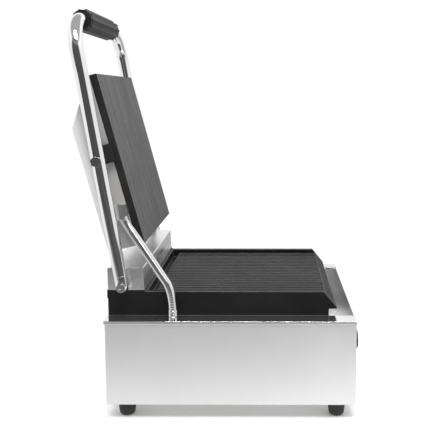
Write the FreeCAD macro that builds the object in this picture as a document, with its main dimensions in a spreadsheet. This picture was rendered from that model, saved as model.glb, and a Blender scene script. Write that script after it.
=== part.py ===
import FreeCAD, Part
import math
import os
import Sketcher
from FreeCAD import Placement, Rotation, Vector

# A panini press (single contact grill) at rest with its head raised. Lengths are in millimetres.
# Row frame: +Z up, -Y is the user's side, X runs across, z = 0 is the table.
# The origin is under the middle of the raised grill's bounding box.
# Three working frames carry the geometry: the base's, the arm's and the head's.

doc = FreeCAD.newDocument("panini_press")
sheet = doc.addObject("Spreadsheet::Sheet", "Sizes")

DRIVING_SIZES = {
    # base frame: its origin is on the table under the middle of the base
    "base_shift": -16.0,          # base middle from the row's origin, along Y
    "base_width": 290.0,
    "base_depth": 333.0,
    "foot_height": 22.0,
    "deck_level": 137.0,
    "sheet_gauge": 1.2,
    "deck_overhang": 1.0,
    "foot_x": 123.0,
    "foot_y": 143.0,
    "foot_radius": 12.5,
    # lower cast plate
    "plate_width": 244.0,
    "plate_foot_front": -131.7,
    "rim_thickness": 8.0,
    "rim_level": 170.0,
    "rib_level": 163.5,
    "groove_depth": 3.0,
    "rib_pitch": 9.0,
    "ledge_level": 172.4,
    "gutter_front": 103.0,
    "slope_start": -125.1,
    "lip_front": -142.9,
    "lip_level": 147.8,
    # hinge box and arm
    "hinge_box_front": 118.4,
    "hinge_box_top": 202.7,
    "arm_pivot_y": 144.3,
    "arm_pivot_level": 180.7,
    "shaft_radius": 5.0,
    "bush_clearance": 0.05,
    "tube_radius": 9.0,
    "tube_wall": 1.5,
    "leg_x": 131.5,
    "arm_length": 358.5,
    "arm_bend_radius": 50.0,
    "arm_lean": 9.35,             # degrees behind the vertical, at rest
    "grip_radius": 16.0,
    "grip_length": 155.0,
    # head, measured from its pivot
    "head_pivot_reach": 169.5,    # from the arm's pivot, along the arm
    "head_lean": 14.7,            # degrees behind the vertical, at rest
    "head_width": 218.0,
    "head_front": 111.5,
    "head_rear": 124.7,
    "face_offset": 23.5,
    "upper_plate_thickness": 10.0,
    "cover_back": 28.0,
    "cover_slope_length": 62.0,
    "bolt_radius": 4.0,
    # conduit
    "conduit_radius": 5.75,
    "conduit_x": -136.0,
    "conduit_y": 76.7,
    "elbow_radius": 11.0,
    # controls on the front panel
    "control_level": 58.0,
    "control_spacing": 75.0,
    "knob_radius": 18.0,
    "knob_height": 20.0,
    # drip tray
    "tray_width": 242.8,
    "tray_floor": 96.5,
    "tray_rear": -101.0,
    # cord gland, in the rear wall
    "gland_x": -80.0,
    "gland_level": 48.0,
    "gland_bore_radius": 4.2,
}


class Size:
    """A length or angle in the model, with the sheet expression that drives it."""

    def __init__(self, value, text):
        self.value = value
        self.text = text

    @staticmethod
    def of(other):
        return other if isinstance(other, Size) else Size(float(other), repr(float(other)))

    def join(self, sign, other, value):
        return Size(value, f"({self.text} {sign} {Size.of(other).text})")

    def __add__(self, other):
        return self.join("+", other, self.value + Size.of(other).value)

    def __sub__(self, other):
        return self.join("-", other, self.value - Size.of(other).value)

    def __mul__(self, other):
        return self.join("*", other, self.value * Size.of(other).value)

    def __truediv__(self, other):
        return self.join("/", other, self.value / Size.of(other).value)

    def __radd__(self, other):
        return Size.of(other) + self

    def __rsub__(self, other):
        return Size.of(other) - self

    def __rmul__(self, other):
        return Size.of(other) * self

    def __neg__(self):
        return Size(-self.value, f"(0 - {self.text})")


class Sizes:
    """The sheet's cells by alias, each as a Size."""


def fill_sheet():
    """Write every driving size into the sheet under its alias."""
    sizes = Sizes()
    for row, (alias, value) in enumerate(DRIVING_SIZES.items(), start=1):
        sheet.set(f"A{row}", alias)
        sheet.set(f"B{row}", str(value))
        sheet.setAlias(f"B{row}", alias)
        setattr(sizes, alias, Size(value, f"Sizes.{alias}"))
    doc.recompute()
    return sizes


dim = fill_sheet()


def number(size):
    """The plain value of a Size or a number."""
    return Size.of(size).value


def bind(item, prop, size):
    """Set a property, and drive it from the sheet when it is a Size."""
    if "." not in prop:
        setattr(item, prop, number(size))
    if isinstance(size, Size):
        item.setExpression(prop, size.text)


# ---------------------------------------------------------------- working frames

BASE = Placement(Vector(0, number(dim.base_shift), 0), Rotation())
ARM_PIVOT = Vector(0, number(dim.arm_pivot_y), number(dim.arm_pivot_level))
ARM = BASE.multiply(Placement(ARM_PIVOT, Rotation(Vector(1, 0, 0), -number(dim.arm_lean))))
HEAD_PIVOT = ARM.multVec(Vector(0, 0, number(dim.head_pivot_reach)))
HEAD = Placement(HEAD_PIVOT, Rotation(Vector(1, 0, 0), -number(dim.head_lean)))

SUB_PARTS = {}


def sub_part(label, item, frame):
    """Name a finished piece and carry it from its working frame to the row frame."""
    if item.TypeId in ("Part::Box", "Part::Cylinder"):
        item = group(item)
    item.Label = label
    item.Placement = frame.multiply(item.Placement)
    SUB_PARTS[label] = item


# ---------------------------------------------------------------- Part primitives


def place(item, corner, rotation=Rotation()):
    """Put an item's origin at a corner whose coordinates the sheet may drive."""
    item.Placement = Placement(Vector(*[number(value) for value in corner]), rotation)
    for axis, value in zip("xyz", corner):
        bind(item, f"Placement.Base.{axis}", value)
    return item


def block(low, high):
    """A box between two corners."""
    item = doc.addObject("Part::Box", "Block")
    for prop, start, end in zip(("Length", "Width", "Height"), low, high):
        bind(item, prop, end - start)
    return place(item, low)


AXIS_TURNS = {
    "X": Rotation(Vector(0, 1, 0), 90),
    "Y": Rotation(Vector(1, 0, 0), -90),
    "Z": Rotation(),
}


def rod(start, axis, length, radius):
    """A cylinder that runs the given length from its start along +X, +Y or +Z."""
    item = doc.addObject("Part::Cylinder", "Rod")
    bind(item, "Radius", radius)
    bind(item, "Height", length)
    return place(item, start, AXIS_TURNS[axis])


CUT_PAST = 1.0    # how far a cutting tool runs beyond the faces that it cuts


def drill(start, axis, length, radius):
    """A rod that cuts a hole of this length: it runs a little past both ends."""
    corner = list(start)
    along = "XYZ".index(axis)
    corner[along] = corner[along] - CUT_PAST
    return rod(corner, axis, length + 2 * CUT_PAST, radius)


def hexagon(start, axis, length, circumradius):
    """A hexagonal bar, measured from its centre to a corner."""
    item = doc.addObject("Part::Prism", "Hexagon")
    item.Polygon = 6
    bind(item, "Circumradius", circumradius)
    bind(item, "Height", length)
    return place(item, start, AXIS_TURNS[axis])


def ball(centre, radius):
    item = doc.addObject("Part::Sphere", "Ball")
    bind(item, "Radius", radius)
    return place(item, centre)


def fuse(*items):
    item = doc.addObject("Part::MultiFuse", "Fusion")
    item.Shapes = list(items)
    item.Refine = True
    return item


def cut(base, *tools):
    item = doc.addObject("Part::Cut", "Cut")
    item.Base = base
    item.Tool = tools[0] if len(tools) == 1 else fuse(*tools)
    item.Refine = True
    return item


def common(first, second):
    item = doc.addObject("Part::MultiCommon", "Common")
    item.Shapes = [first, second]
    return item


def group(*items):
    """Separate solids that share one node."""
    item = doc.addObject("Part::Compound", "Group")
    item.Links = list(items)
    return item


# ---------------------------------------------------------------- PartDesign helpers

# For each origin plane: the row axis its normal lies on, and the normal's sign.
PLANE_NORMALS = {"XY_Plane": 1, "XZ_Plane": -1, "YZ_Plane": 1}


def new_body(label):
    return doc.addObject("PartDesign::Body", "Body_" + label)


def origin_feature(body, role):
    return next(item for item in body.Origin.OriginFeatures if item.Role == role)


def new_sketch(body, plane, level=0):
    """A sketch parallel to an origin plane, at a level along that plane's axis."""
    item = body.newObject("Sketcher::SketchObject", "Sketch")
    item.AttachmentSupport = [(origin_feature(body, plane), "")]
    item.MapMode = "FlatFace"
    offset = Size.of(level) * PLANE_NORMALS[plane]
    item.AttachmentOffset = Placement(Vector(0, 0, offset.value), Rotation())
    if isinstance(level, Size):
        item.setExpression("AttachmentOffset.Base.z", offset.text)
    return item


def pin_point(sketch, geometry, end, x, y):
    """Fix one point of a sketch at x, y from the sketch's origin; None leaves one free."""
    for kind, value, axis in (("DistanceX", x, -2), ("DistanceY", y, -1)):
        if value is None:
            continue
        if abs(number(value)) < 1e-9:
            sketch.addConstraint(Sketcher.Constraint("PointOnObject", geometry, end, axis))
            continue
        constraint = Sketcher.Constraint(kind, -1, 1, geometry, end, number(value))
        index = sketch.addConstraint(constraint)
        if isinstance(value, Size):
            sketch.setExpression(f"Constraints[{index}]", value.text)


def outline(sketch, points):
    """A closed polygon, every corner pinned to sizes."""
    corners = [Vector(number(x), number(y), 0) for x, y in points]
    first = sketch.GeometryCount
    count = len(points)
    for index in range(count):
        line = Part.LineSegment(corners[index], corners[(index + 1) % count])
        sketch.addGeometry(line, False)
    for index, (x, y) in enumerate(points):
        following = first + index
        previous = first + (index - 1) % count
        sketch.addConstraint(Sketcher.Constraint("Coincident", previous, 2, following, 1))
        pin_point(sketch, following, 1, x, y)


def circle(sketch, x, y, radius):
    centre = Vector(number(x), number(y), 0)
    shape = Part.Circle(centre, Vector(0, 0, 1), number(radius))
    index = sketch.addGeometry(shape, False)
    pin_point(sketch, index, 3, x, y)
    constraint = sketch.addConstraint(Sketcher.Constraint("Radius", index, number(radius)))
    if isinstance(radius, Size):
        sketch.setExpression(f"Constraints[{constraint}]", radius.text)


def extrude(body, plane, low, high, draw, removes=False):
    """Pad or pocket a drawn profile between two levels along the plane's axis."""
    starts_low = (PLANE_NORMALS[plane] > 0) != removes
    sketch = new_sketch(body, plane, low if starts_low else high)
    draw(sketch)
    feature = body.newObject("PartDesign::Pocket" if removes else "PartDesign::Pad", "Extrusion")
    feature.Profile = sketch
    bind(feature, "Length", Size.of(high) - low)
    feature.Refine = True
    body.Tip = feature
    return feature


def solid_of_polygon(body, plane, low, high, points, removes=False):
    return extrude(body, plane, low, high, lambda sketch: outline(sketch, points), removes)


def solid_of_rectangle(body, plane, low, high, left, bottom, right, top, removes=False):
    points = [(left, bottom), (right, bottom), (right, top), (left, top)]
    return solid_of_polygon(body, plane, low, high, points, removes)


def solid_of_circles(body, plane, low, high, centres, radius, removes=False):
    def draw(sketch):
        for x, y in centres:
            circle(sketch, x, y, radius)
    return extrude(body, plane, low, high, draw, removes)


def pierce(body, plane, low, high, centres, radius):
    """Round holes through whatever lies between two levels."""
    return solid_of_circles(
        body, plane, low - CUT_PAST, high + CUT_PAST, centres, radius, True
    )


def revolve(body, plane, points, axis):
    """Turn a closed profile once round one of the sketch's own axes."""
    sketch = new_sketch(body, plane)
    outline(sketch, points)
    feature = body.newObject("PartDesign::Revolution", "Turning")
    feature.Profile = sketch
    feature.ReferenceAxis = (sketch, [axis])
    feature.Angle = 360.0
    body.Tip = feature
    return feature


def repeat_in_line(body, originals, axis, spacing, count):
    """Copies of some features along an origin axis, a spacing apart."""
    feature = body.newObject("PartDesign::LinearPattern", "Row")
    feature.Originals = originals
    feature.Direction = (origin_feature(body, axis), [""])
    feature.Occurrences = count
    bind(feature, "Length", Size.of(spacing) * (count - 1))
    body.Tip = feature
    return feature


def repeat_in_circle(body, originals, axis, count):
    feature = body.newObject("PartDesign::PolarPattern", "Ring")
    feature.Originals = originals
    feature.Axis = (origin_feature(body, axis), [""])
    feature.Angle = 360.0
    feature.Occurrences = count
    body.Tip = feature
    return feature


def round_edges(body, radius, chosen):
    """Fillet the edges of the body so far that the test picks."""
    doc.recompute()
    solid = body.Tip
    names = [f"Edge{i}" for i, edge in enumerate(solid.Shape.Edges, start=1) if chosen(edge)]
    feature = body.newObject("PartDesign::Fillet", "Rounding")
    feature.Base = (solid, names)
    bind(feature, "Radius", radius)
    body.Tip = feature
    return feature


def runs_along(edge, direction):
    """Whether a straight edge is parallel to a direction."""
    if edge.Curve.TypeId != "Part::GeomLine":
        return False
    return abs(edge.tangentAt(edge.FirstParameter).dot(direction)) > 0.999


# ---------------------------------------------------------------- base: sheet-metal box

WALL_X = dim.base_width / 2
WALL_Y = dim.base_depth / 2
GAUGE = dim.sheet_gauge
UNDER_DECK = dim.deck_level - GAUGE
INNER_X = WALL_X - GAUGE
INNER_Y = WALL_Y - GAUGE
FLANGE = 14.0
FOLD_RADIUS = 1.1
VENT_LEFT = 20.0
VENT_WIDTH = 3.0
VENT_LOW = 50.0
VENT_TOP = 90.0
VENT_PITCH = 9.0
VENT_COUNT = 9
THREAD_PLAY = 0.1
GLAND_THREAD = 7.9


def make_housing_shell():
    """Both side walls and the rear wall, folded from one sheet with a flange inside its foot."""
    body = new_body("housing_shell")
    walls = [
        (-WALL_X, -WALL_Y),
        (-INNER_X, -WALL_Y),
        (-INNER_X, INNER_Y),
        (INNER_X, INNER_Y),
        (INNER_X, -WALL_Y),
        (WALL_X, -WALL_Y),
        (WALL_X, WALL_Y),
        (-WALL_X, WALL_Y),
    ]
    solid_of_polygon(body, "XY_Plane", dim.foot_height, UNDER_DECK, walls)
    flange = [
        (-INNER_X, -INNER_Y),
        (-INNER_X + FLANGE, -INNER_Y),
        (-INNER_X + FLANGE, INNER_Y - FLANGE),
        (INNER_X - FLANGE, INNER_Y - FLANGE),
        (INNER_X - FLANGE, -INNER_Y),
        (INNER_X, -INNER_Y),
        (INNER_X, INNER_Y),
        (-INNER_X, INNER_Y),
    ]
    flange_low = dim.foot_height + GAUGE
    solid_of_polygon(body, "XY_Plane", flange_low, flange_low + GAUGE, flange)
    gland_hole = [(dim.gland_x, dim.gland_level)]
    pierce(body, "XZ_Plane", INNER_Y, WALL_Y, gland_hole, GLAND_THREAD + THREAD_PLAY)
    slot = solid_of_rectangle(
        body, "XZ_Plane", INNER_Y - CUT_PAST, WALL_Y + CUT_PAST,
        VENT_LEFT, VENT_LOW, VENT_LEFT + VENT_WIDTH, VENT_TOP, True,
    )
    repeat_in_line(body, [slot], "X_Axis", VENT_PITCH, VENT_COUNT)
    up = Vector(0, 0, 1)
    wall_height = number(UNDER_DECK) - number(dim.foot_height)
    outer_rear = number(WALL_Y) - 0.1
    round_edges(body, FOLD_RADIUS, lambda edge: runs_along(edge, up)
                and edge.Length > wall_height - 0.1 and edge.CenterOfMass.y > outer_rear)
    sub_part("housing_shell", body, BASE)


HEM_DEPTH = 3.0
WIRE_HOLE_Y = 20.0
WIRE_HOLE_RADIUS = 20.0
DECK_THREAD = 4.9


def make_top_deck():
    """Top pan: a flat sheet with a narrow hem outside the walls, open over the drip tray."""
    body = new_body("top_deck")
    edge_x = WALL_X + dim.deck_overhang
    edge_y = WALL_Y + dim.deck_overhang
    mouth_x = dim.plate_width / 2
    sheet_outline = [
        (-edge_x, -edge_y),
        (-mouth_x, -edge_y),
        (-mouth_x, dim.plate_foot_front),
        (mouth_x, dim.plate_foot_front),
        (mouth_x, -edge_y),
        (edge_x, -edge_y),
        (edge_x, edge_y),
        (-edge_x, edge_y),
    ]
    solid_of_polygon(body, "XY_Plane", UNDER_DECK, dim.deck_level, sheet_outline)
    hem = [
        (-edge_x, -edge_y),
        (-WALL_X, -edge_y),
        (-WALL_X, WALL_Y),
        (WALL_X, WALL_Y),
        (WALL_X, -edge_y),
        (edge_x, -edge_y),
        (edge_x, edge_y),
        (-edge_x, edge_y),
    ]
    solid_of_polygon(body, "XY_Plane", UNDER_DECK - HEM_DEPTH, UNDER_DECK, hem)
    holes = (
        (0, WIRE_HOLE_Y, WIRE_HOLE_RADIUS),
        (dim.conduit_x, dim.conduit_y, DECK_THREAD + THREAD_PLAY),
    )
    for x, y, radius in holes:
        pierce(body, "XY_Plane", UNDER_DECK, dim.deck_level, [(x, y)], radius)
    sub_part("top_deck", body, BASE)


SWITCH_X = -dim.control_spacing
LAMP_X = dim.control_spacing
SWITCH_HALF_X = 9.5
SWITCH_HALF_Z = 13.7
TRAY_MOUTH_GAP = 0.4
THERMOSTAT_NECK = 4.8
LAMP_NECK = 5.8
NECK_PLAY = 0.2


def make_front_panel():
    """Front sheet with a mouth for the tray and holes for the thermostat, switch and lamp."""
    body = new_body("front_panel")
    front, back = -WALL_Y, -INNER_Y
    low = dim.foot_height
    mouth_x = dim.tray_width / 2 + TRAY_MOUTH_GAP
    mouth_level = dim.tray_floor - TRAY_MOUTH_GAP
    panel = [
        (-INNER_X, low),
        (INNER_X, low),
        (INNER_X, UNDER_DECK),
        (mouth_x, UNDER_DECK),
        (mouth_x, mouth_level),
        (-mouth_x, mouth_level),
        (-mouth_x, UNDER_DECK),
        (-INNER_X, UNDER_DECK),
    ]
    solid_of_polygon(body, "XZ_Plane", front, back, panel)
    level = dim.control_level
    pierce(body, "XZ_Plane", front, back, [(0, level)], THERMOSTAT_NECK + NECK_PLAY)
    pierce(body, "XZ_Plane", front, back, [(LAMP_X, level)], LAMP_NECK + NECK_PLAY)
    solid_of_rectangle(
        body, "XZ_Plane", front - CUT_PAST, back + CUT_PAST,
        SWITCH_X - SWITCH_HALF_X, level - SWITCH_HALF_Z,
        SWITCH_X + SWITCH_HALF_X, level + SWITCH_HALF_Z, True,
    )
    sub_part("front_panel", body, BASE)


FOOT_HOLE_RADIUS = 2.6
FOOT_RECESS_RADIUS = 5.5
FOOT_RECESS_DEPTH = 5.0
UNDER_VENT_WIDTH = 4.0
UNDER_VENT_HALF_LENGTH = 45.0
UNDER_VENT_PITCH = 14.5
UNDER_VENT_COUNT = 9


def make_bottom_plate():
    """Flat sheet between the walls, with holes for the feet's screws and a row of vents."""
    body = new_body("bottom_plate")
    low, high = dim.foot_height, dim.foot_height + GAUGE
    solid_of_rectangle(body, "XY_Plane", low, high, -INNER_X, -INNER_Y, INNER_X, INNER_Y)
    holes = [(x, y) for x in (-dim.foot_x, dim.foot_x) for y in (-dim.foot_y, dim.foot_y)]
    pierce(body, "XY_Plane", low, high, holes, FOOT_HOLE_RADIUS)
    first_x = -(UNDER_VENT_PITCH * (UNDER_VENT_COUNT - 1) + UNDER_VENT_WIDTH) / 2
    slot = solid_of_rectangle(
        body, "XY_Plane", low - CUT_PAST, high + CUT_PAST,
        first_x, -UNDER_VENT_HALF_LENGTH, first_x + UNDER_VENT_WIDTH, UNDER_VENT_HALF_LENGTH, True,
    )
    repeat_in_line(body, [slot], "X_Axis", UNDER_VENT_PITCH, UNDER_VENT_COUNT)
    sub_part("bottom_plate", body, BASE)


def make_feet():
    """Tapered rubber feet with a recess for their screw."""
    for end, y in (("front", -dim.foot_y), ("rear", dim.foot_y)):
        for side, x in (("left", -dim.foot_x), ("right", dim.foot_x)):
            label = f"foot_{end}_{side}"
            body = new_body(label)
            profile = [
                (FOOT_HOLE_RADIUS, FOOT_RECESS_DEPTH),
                (FOOT_RECESS_RADIUS, FOOT_RECESS_DEPTH),
                (FOOT_RECESS_RADIUS, 0),
                (dim.foot_radius - 3.9, 0),
                (dim.foot_radius - 2.2, 2.0),
                (dim.foot_radius - 1.2, 8.0),
                (dim.foot_radius, dim.foot_height),
                (FOOT_HOLE_RADIUS, dim.foot_height),
            ]
            revolve(body, "XZ_Plane", profile, "V_Axis")
            place_at = Placement(Vector(number(x), number(y), 0), Rotation())
            sub_part(label, body, BASE.multiply(place_at))


def make_foot_screws():
    """Screws up through the feet into the bottom plate, their heads in the feet's recesses."""
    shank_radius, shank_length = 2.5, 24.0
    head_radius, head_height = 4.8, 3.0
    screws = []
    for x in (-dim.foot_x, dim.foot_x):
        for y in (-dim.foot_y, dim.foot_y):
            shank = rod((x, y, FOOT_RECESS_DEPTH), "Z", shank_length, shank_radius)
            head = rod((x, y, FOOT_RECESS_DEPTH - head_height), "Z", head_height, head_radius)
            screws.append(fuse(shank, head))
    sub_part("foot_screws", group(*screws), BASE)


# ---------------------------------------------------------------- base: lower cast plate

PLATE_X = dim.plate_width / 2
RECESS_X = PLATE_X - dim.rim_thickness
GROOVE_TOP = 2.8          # half width at the groove's mouth
GROOVE_FLOOR = 1.7        # half width at its floor
GROOVE_COUNT = 25
UPPER_GROOVE_COUNT = 23
GROOVE_MOUTH = 4.0        # how far a groove's cutting profile stands above the ribs
LIP_THICKNESS = 1.4
LIP_EDGE = 1.5            # plain strip between the ribs' feet and the lip's front edge
REAR_BEAD_HEIGHT = 12.0
REAR_BEAD_PROUD = 1.0
LEDGE_LEAN = 1.3          # the hinge box and the ledge's front edge lean by this much
LEDGE_SLOPE = 2.0
GUTTER_DEPTH = 6.0
GUTTER_SHELF = 5.0        # from the gutter's rear wall to the hinge box
CASTING_WALL = 9.0
CASTING_SKIN = 4.5        # metal left under the grooves
CLEAR_ABOVE = 20.0        # the recess is cut from well above the rims
GROOVE_RUN_OUT = 4.0      # the sloping grooves end this far above the slope's foot


def groove_profile(sketch, x, surface, depth):
    """A tapered groove down from a surface, its mouth a little above that."""
    mouth = surface + GROOVE_MOUTH
    floor = surface - depth
    outline(sketch, [
        (x - GROOVE_FLOOR, floor),
        (x + GROOVE_FLOOR, floor),
        (x + GROOVE_TOP, mouth),
        (x - GROOVE_TOP, mouth),
    ])


def make_lower_plate():
    """Casting: hollow underneath, rimmed on both sides, with a sloping front and a lip."""
    body = new_body("lower_plate")
    lip_under = dim.lip_level - LIP_THICKNESS
    bead_level = dim.ledge_level - REAR_BEAD_HEIGHT
    ledge_front = dim.hinge_box_front - LEDGE_LEAN
    profile = [
        (dim.plate_foot_front, dim.deck_level),
        (WALL_Y, dim.deck_level),
        (WALL_Y, bead_level),
        (WALL_Y + REAR_BEAD_PROUD, bead_level),
        (WALL_Y + REAR_BEAD_PROUD, dim.ledge_level),
        (ledge_front, dim.ledge_level),
        (ledge_front - LEDGE_SLOPE, dim.rim_level),
        (dim.slope_start, dim.rim_level),
        (dim.lip_front, dim.lip_level),
        (dim.lip_front, lip_under),
        (dim.plate_foot_front, lip_under),
    ]
    solid_of_polygon(body, "YZ_Plane", -PLATE_X, PLATE_X, profile)
    slope_drop = dim.rim_level - dim.lip_level
    slope_run = dim.slope_start - dim.lip_front
    rim_rise = dim.rim_level - dim.rib_level
    slope_foot = dim.lip_front + LIP_EDGE
    bend_y = slope_foot + slope_run * (1 - rim_rise.value / slope_drop.value)
    clear = dim.rim_level + CLEAR_ABOVE
    gutter_floor = dim.rib_level - GUTTER_DEPTH
    gutter_rear = dim.hinge_box_front - GUTTER_SHELF
    recess = [
        (gutter_rear, clear),
        (gutter_rear, gutter_floor),
        (dim.gutter_front, gutter_floor),
        (dim.gutter_front, dim.rib_level),
        (bend_y, dim.rib_level),
        (slope_foot, dim.lip_level),
        (dim.lip_front - CLEAR_ABOVE, dim.lip_level),
        (dim.lip_front - CLEAR_ABOVE, clear),
    ]
    solid_of_polygon(body, "YZ_Plane", -RECESS_X, RECESS_X, recess, True)
    first_x = -dim.rib_pitch * ((GROOVE_COUNT - 1) / 2)
    level_cut = extrude(
        body, "XZ_Plane", bend_y, dim.gutter_front + CUT_PAST,
        lambda sketch: groove_profile(sketch, first_x, dim.rib_level, dim.groove_depth),
        True,
    )
    slope_sketch = new_sketch(body, "XZ_Plane", bend_y)
    groove_profile(slope_sketch, first_x, dim.rib_level, dim.groove_depth)
    slope_cut = body.newObject("PartDesign::Pocket", "SlopeGroove")
    slope_cut.Profile = slope_sketch
    slope_cut.UseCustomVector = True
    fall = number(dim.rib_level) - number(dim.lip_level)
    run = number(bend_y) - number(slope_foot)
    slope_cut.Direction = Vector(0, run, fall)
    slope_cut.AlongSketchNormal = False
    slope_cut.Length = math.hypot(run, fall) - GROOVE_RUN_OUT
    body.Tip = slope_cut
    repeat_in_line(body, [level_cut, slope_cut], "X_Axis", dim.rib_pitch, GROOVE_COUNT)
    cavities = (
        (dim.plate_foot_front + CASTING_WALL, dim.gutter_front - GUTTER_DEPTH,
         dim.rib_level - dim.groove_depth - CASTING_SKIN),
        (dim.gutter_front, WALL_Y - CASTING_WALL, dim.ledge_level - 4 * CASTING_SKIN),
    )
    cavity_x = PLATE_X - CASTING_WALL
    for front, rear, top in cavities:
        solid_of_rectangle(
            body, "YZ_Plane", -cavity_x, cavity_x,
            front, dim.deck_level - CUT_PAST, rear, top, True,
        )
    sub_part("lower_plate", body, BASE)


def element_path(half_width, near, far, level, rows):
    """Flat serpentine: straight rows along the second axis, joined by half circles."""
    pitch = 2 * half_width / (rows - 1)
    bend = pitch / 2
    edges = []
    for row in range(rows):
        x = -half_width + row * pitch
        start, end = (near, far) if row % 2 == 0 else (far, near)
        edges.append(Part.LineSegment(Vector(x, start, level), Vector(x, end, level)))
        if row < rows - 1:
            outward = bend if end == far else -bend
            top = Vector(x + bend, end + outward, level)
            edges.append(Part.Arc(Vector(x, end, level), top, Vector(x + pitch, end, level)))
    return Part.Wire([edge.toShape() for edge in edges])


def tube_along(wire, radius):
    """A solid round bar along a smooth wire, its volume compared with section times length."""
    first = wire.Edges[0]
    start = first.valueAt(first.FirstParameter)
    direction = first.tangentAt(first.FirstParameter)
    section = Part.Wire([Part.Circle(start, direction, radius).toShape()])
    solid = wire.makePipeShell([section], True, False)
    expected = math.pi * radius ** 2 * wire.Length
    if abs(solid.Volume - expected) > 0.01 * expected:
        raise RuntimeError(f"bar volume {solid.Volume:.0f} instead of {expected:.0f}")
    return solid


def feature_of(shape):
    item = doc.addObject("Part::Feature", "Shape")
    item.Shape = shape
    return item


ELEMENT_RADIUS = 4.0
ELEMENT_ROWS = 5
CLAMP_SHEET = 1.5


def make_lower_heating():
    """Serpentine bar under the ribs, the sheet and bolts that hold it up, and a fibre blanket."""
    skin = number(dim.groove_depth) + CASTING_SKIN
    level = number(dim.rib_level) - skin - ELEMENT_RADIUS
    half_width, near, far = 84.0, -95.0, 60.0
    path = element_path(half_width, near, far, level, ELEMENT_ROWS)
    sub_part("lower_element", feature_of(tube_along(path, ELEMENT_RADIUS)), BASE)
    clamp_top = level - ELEMENT_RADIUS
    clamp_low = clamp_top - CLAMP_SHEET
    clamp_x = half_width - ELEMENT_RADIUS
    clamp = block((-clamp_x, near + 5.0, clamp_low), (clamp_x, far - 5.0, clamp_top))
    # the bolts stand between the bar's rows
    spots = [(x, y) for x in (-half_width / 4, half_width / 4) for y in (-60.0, 30.0)]
    bolt_radius, head_height, head_radius = 3.0, 4.0, 5.7
    thread_length = 8.0
    holes = [drill((x, y, clamp_low), "Z", CLAMP_SHEET, bolt_radius + THREAD_PLAY) for x, y in spots]
    sub_part("lower_element_clamp", cut(clamp, *holes), BASE)
    bolts = []
    for x, y in spots:
        shank = rod((x, y, clamp_low), "Z", CLAMP_SHEET + thread_length, bolt_radius)
        head = hexagon((x, y, clamp_low - head_height), "Z", head_height, head_radius)
        bolts.append(fuse(shank, head))
    sub_part("lower_clamp_bolts", group(*bolts), BASE)
    blanket_top = clamp_low - head_height - 0.5
    blanket = block((-108.0, -118.0, dim.deck_level + 0.5), (108.0, 92.0, blanket_top))
    sub_part("lower_insulation", blanket, BASE)


# ---------------------------------------------------------------- base: hinge box

BOX_X = PLATE_X
BOX_FLOOR = dim.ledge_level
BOX_FOLD_RADIUS = 1.5
BUSH_RADIUS = 7.5
BUSH_LENGTH = 9.0


def make_hinge_box():
    """Folded cover on the plate's rear ledge, open below, with a hole for each bush."""
    body = new_body("hinge_box")
    profile = [
        (dim.hinge_box_front - LEDGE_LEAN, BOX_FLOOR),
        (WALL_Y, BOX_FLOOR),
        (WALL_Y, dim.hinge_box_top),
        (dim.hinge_box_front, dim.hinge_box_top),
    ]
    solid_of_polygon(body, "YZ_Plane", -BOX_X, BOX_X, profile)
    across = Vector(1, 0, 0)
    top = number(dim.hinge_box_top) - 0.1
    round_edges(body, BOX_FOLD_RADIUS,
                lambda edge: runs_along(edge, across) and edge.CenterOfMass.z > top)
    hollow = [
        (dim.hinge_box_front, BOX_FLOOR - CUT_PAST),
        (WALL_Y - GAUGE, BOX_FLOOR - CUT_PAST),
        (WALL_Y - GAUGE, dim.hinge_box_top - GAUGE),
        (dim.hinge_box_front + GAUGE, dim.hinge_box_top - GAUGE),
    ]
    solid_of_polygon(body, "YZ_Plane", -BOX_X + GAUGE, BOX_X - GAUGE, hollow, True)
    hole = [(dim.arm_pivot_y, dim.arm_pivot_level)]
    pierce(body, "YZ_Plane", -BOX_X, BOX_X, hole, BUSH_RADIUS)
    sub_part("hinge_box", body, BASE)


BRACKET_X = 118.0
BRACKET_Y = (128.0, 160.0)
BRACKET_WALL = 3.0
BRACKET_FLOOR = 1.8
BRACKET_HEIGHT = 22.0
BRACKET_WINDOW = (-106.0, 134.5, 106.0, 154.0)


def make_hinge_bracket():
    """Channel inside the hinge box whose two uprights carry the bushes."""
    body = new_body("hinge_bracket")
    low = BOX_FLOOR
    floor, top = low + BRACKET_FLOOR, low + BRACKET_HEIGHT
    inner_x = BRACKET_X - BRACKET_WALL
    channel = [
        (-BRACKET_X, low),
        (BRACKET_X, low),
        (BRACKET_X, top),
        (inner_x, top),
        (inner_x, floor),
        (-inner_x, floor),
        (-inner_x, top),
        (-BRACKET_X, top),
    ]
    solid_of_polygon(body, "XZ_Plane", *BRACKET_Y, channel)
    solid_of_rectangle(
        body, "XY_Plane", low - CUT_PAST, floor + CUT_PAST, *BRACKET_WINDOW, True
    )
    hole = [(dim.arm_pivot_y, dim.arm_pivot_level)]
    pierce(body, "YZ_Plane", -BRACKET_X, BRACKET_X, hole, BUSH_RADIUS)
    sub_part("hinge_bracket", body, BASE)


def make_hinge_bushes():
    """Plain bushes through the bracket and the box's side wall, a running fit on the shaft."""
    bore_radius = dim.shaft_radius + dim.bush_clearance
    for side, low in (("left", -BOX_X), ("right", BOX_X - BUSH_LENGTH)):
        start = (low, dim.arm_pivot_y, dim.arm_pivot_level)
        sleeve = rod(start, "X", BUSH_LENGTH, BUSH_RADIUS)
        bore = drill(start, "X", BUSH_LENGTH, bore_radius)
        sub_part(f"hinge_bush_{side}", cut(sleeve, bore), BASE)


SPRING_OUTER_X = 96.0
SPRING_RADIUS = 6.4
WIRE_RADIUS = 0.9
SPRING_PITCH = 2.6
SPRING_TURNS = 9


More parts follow.
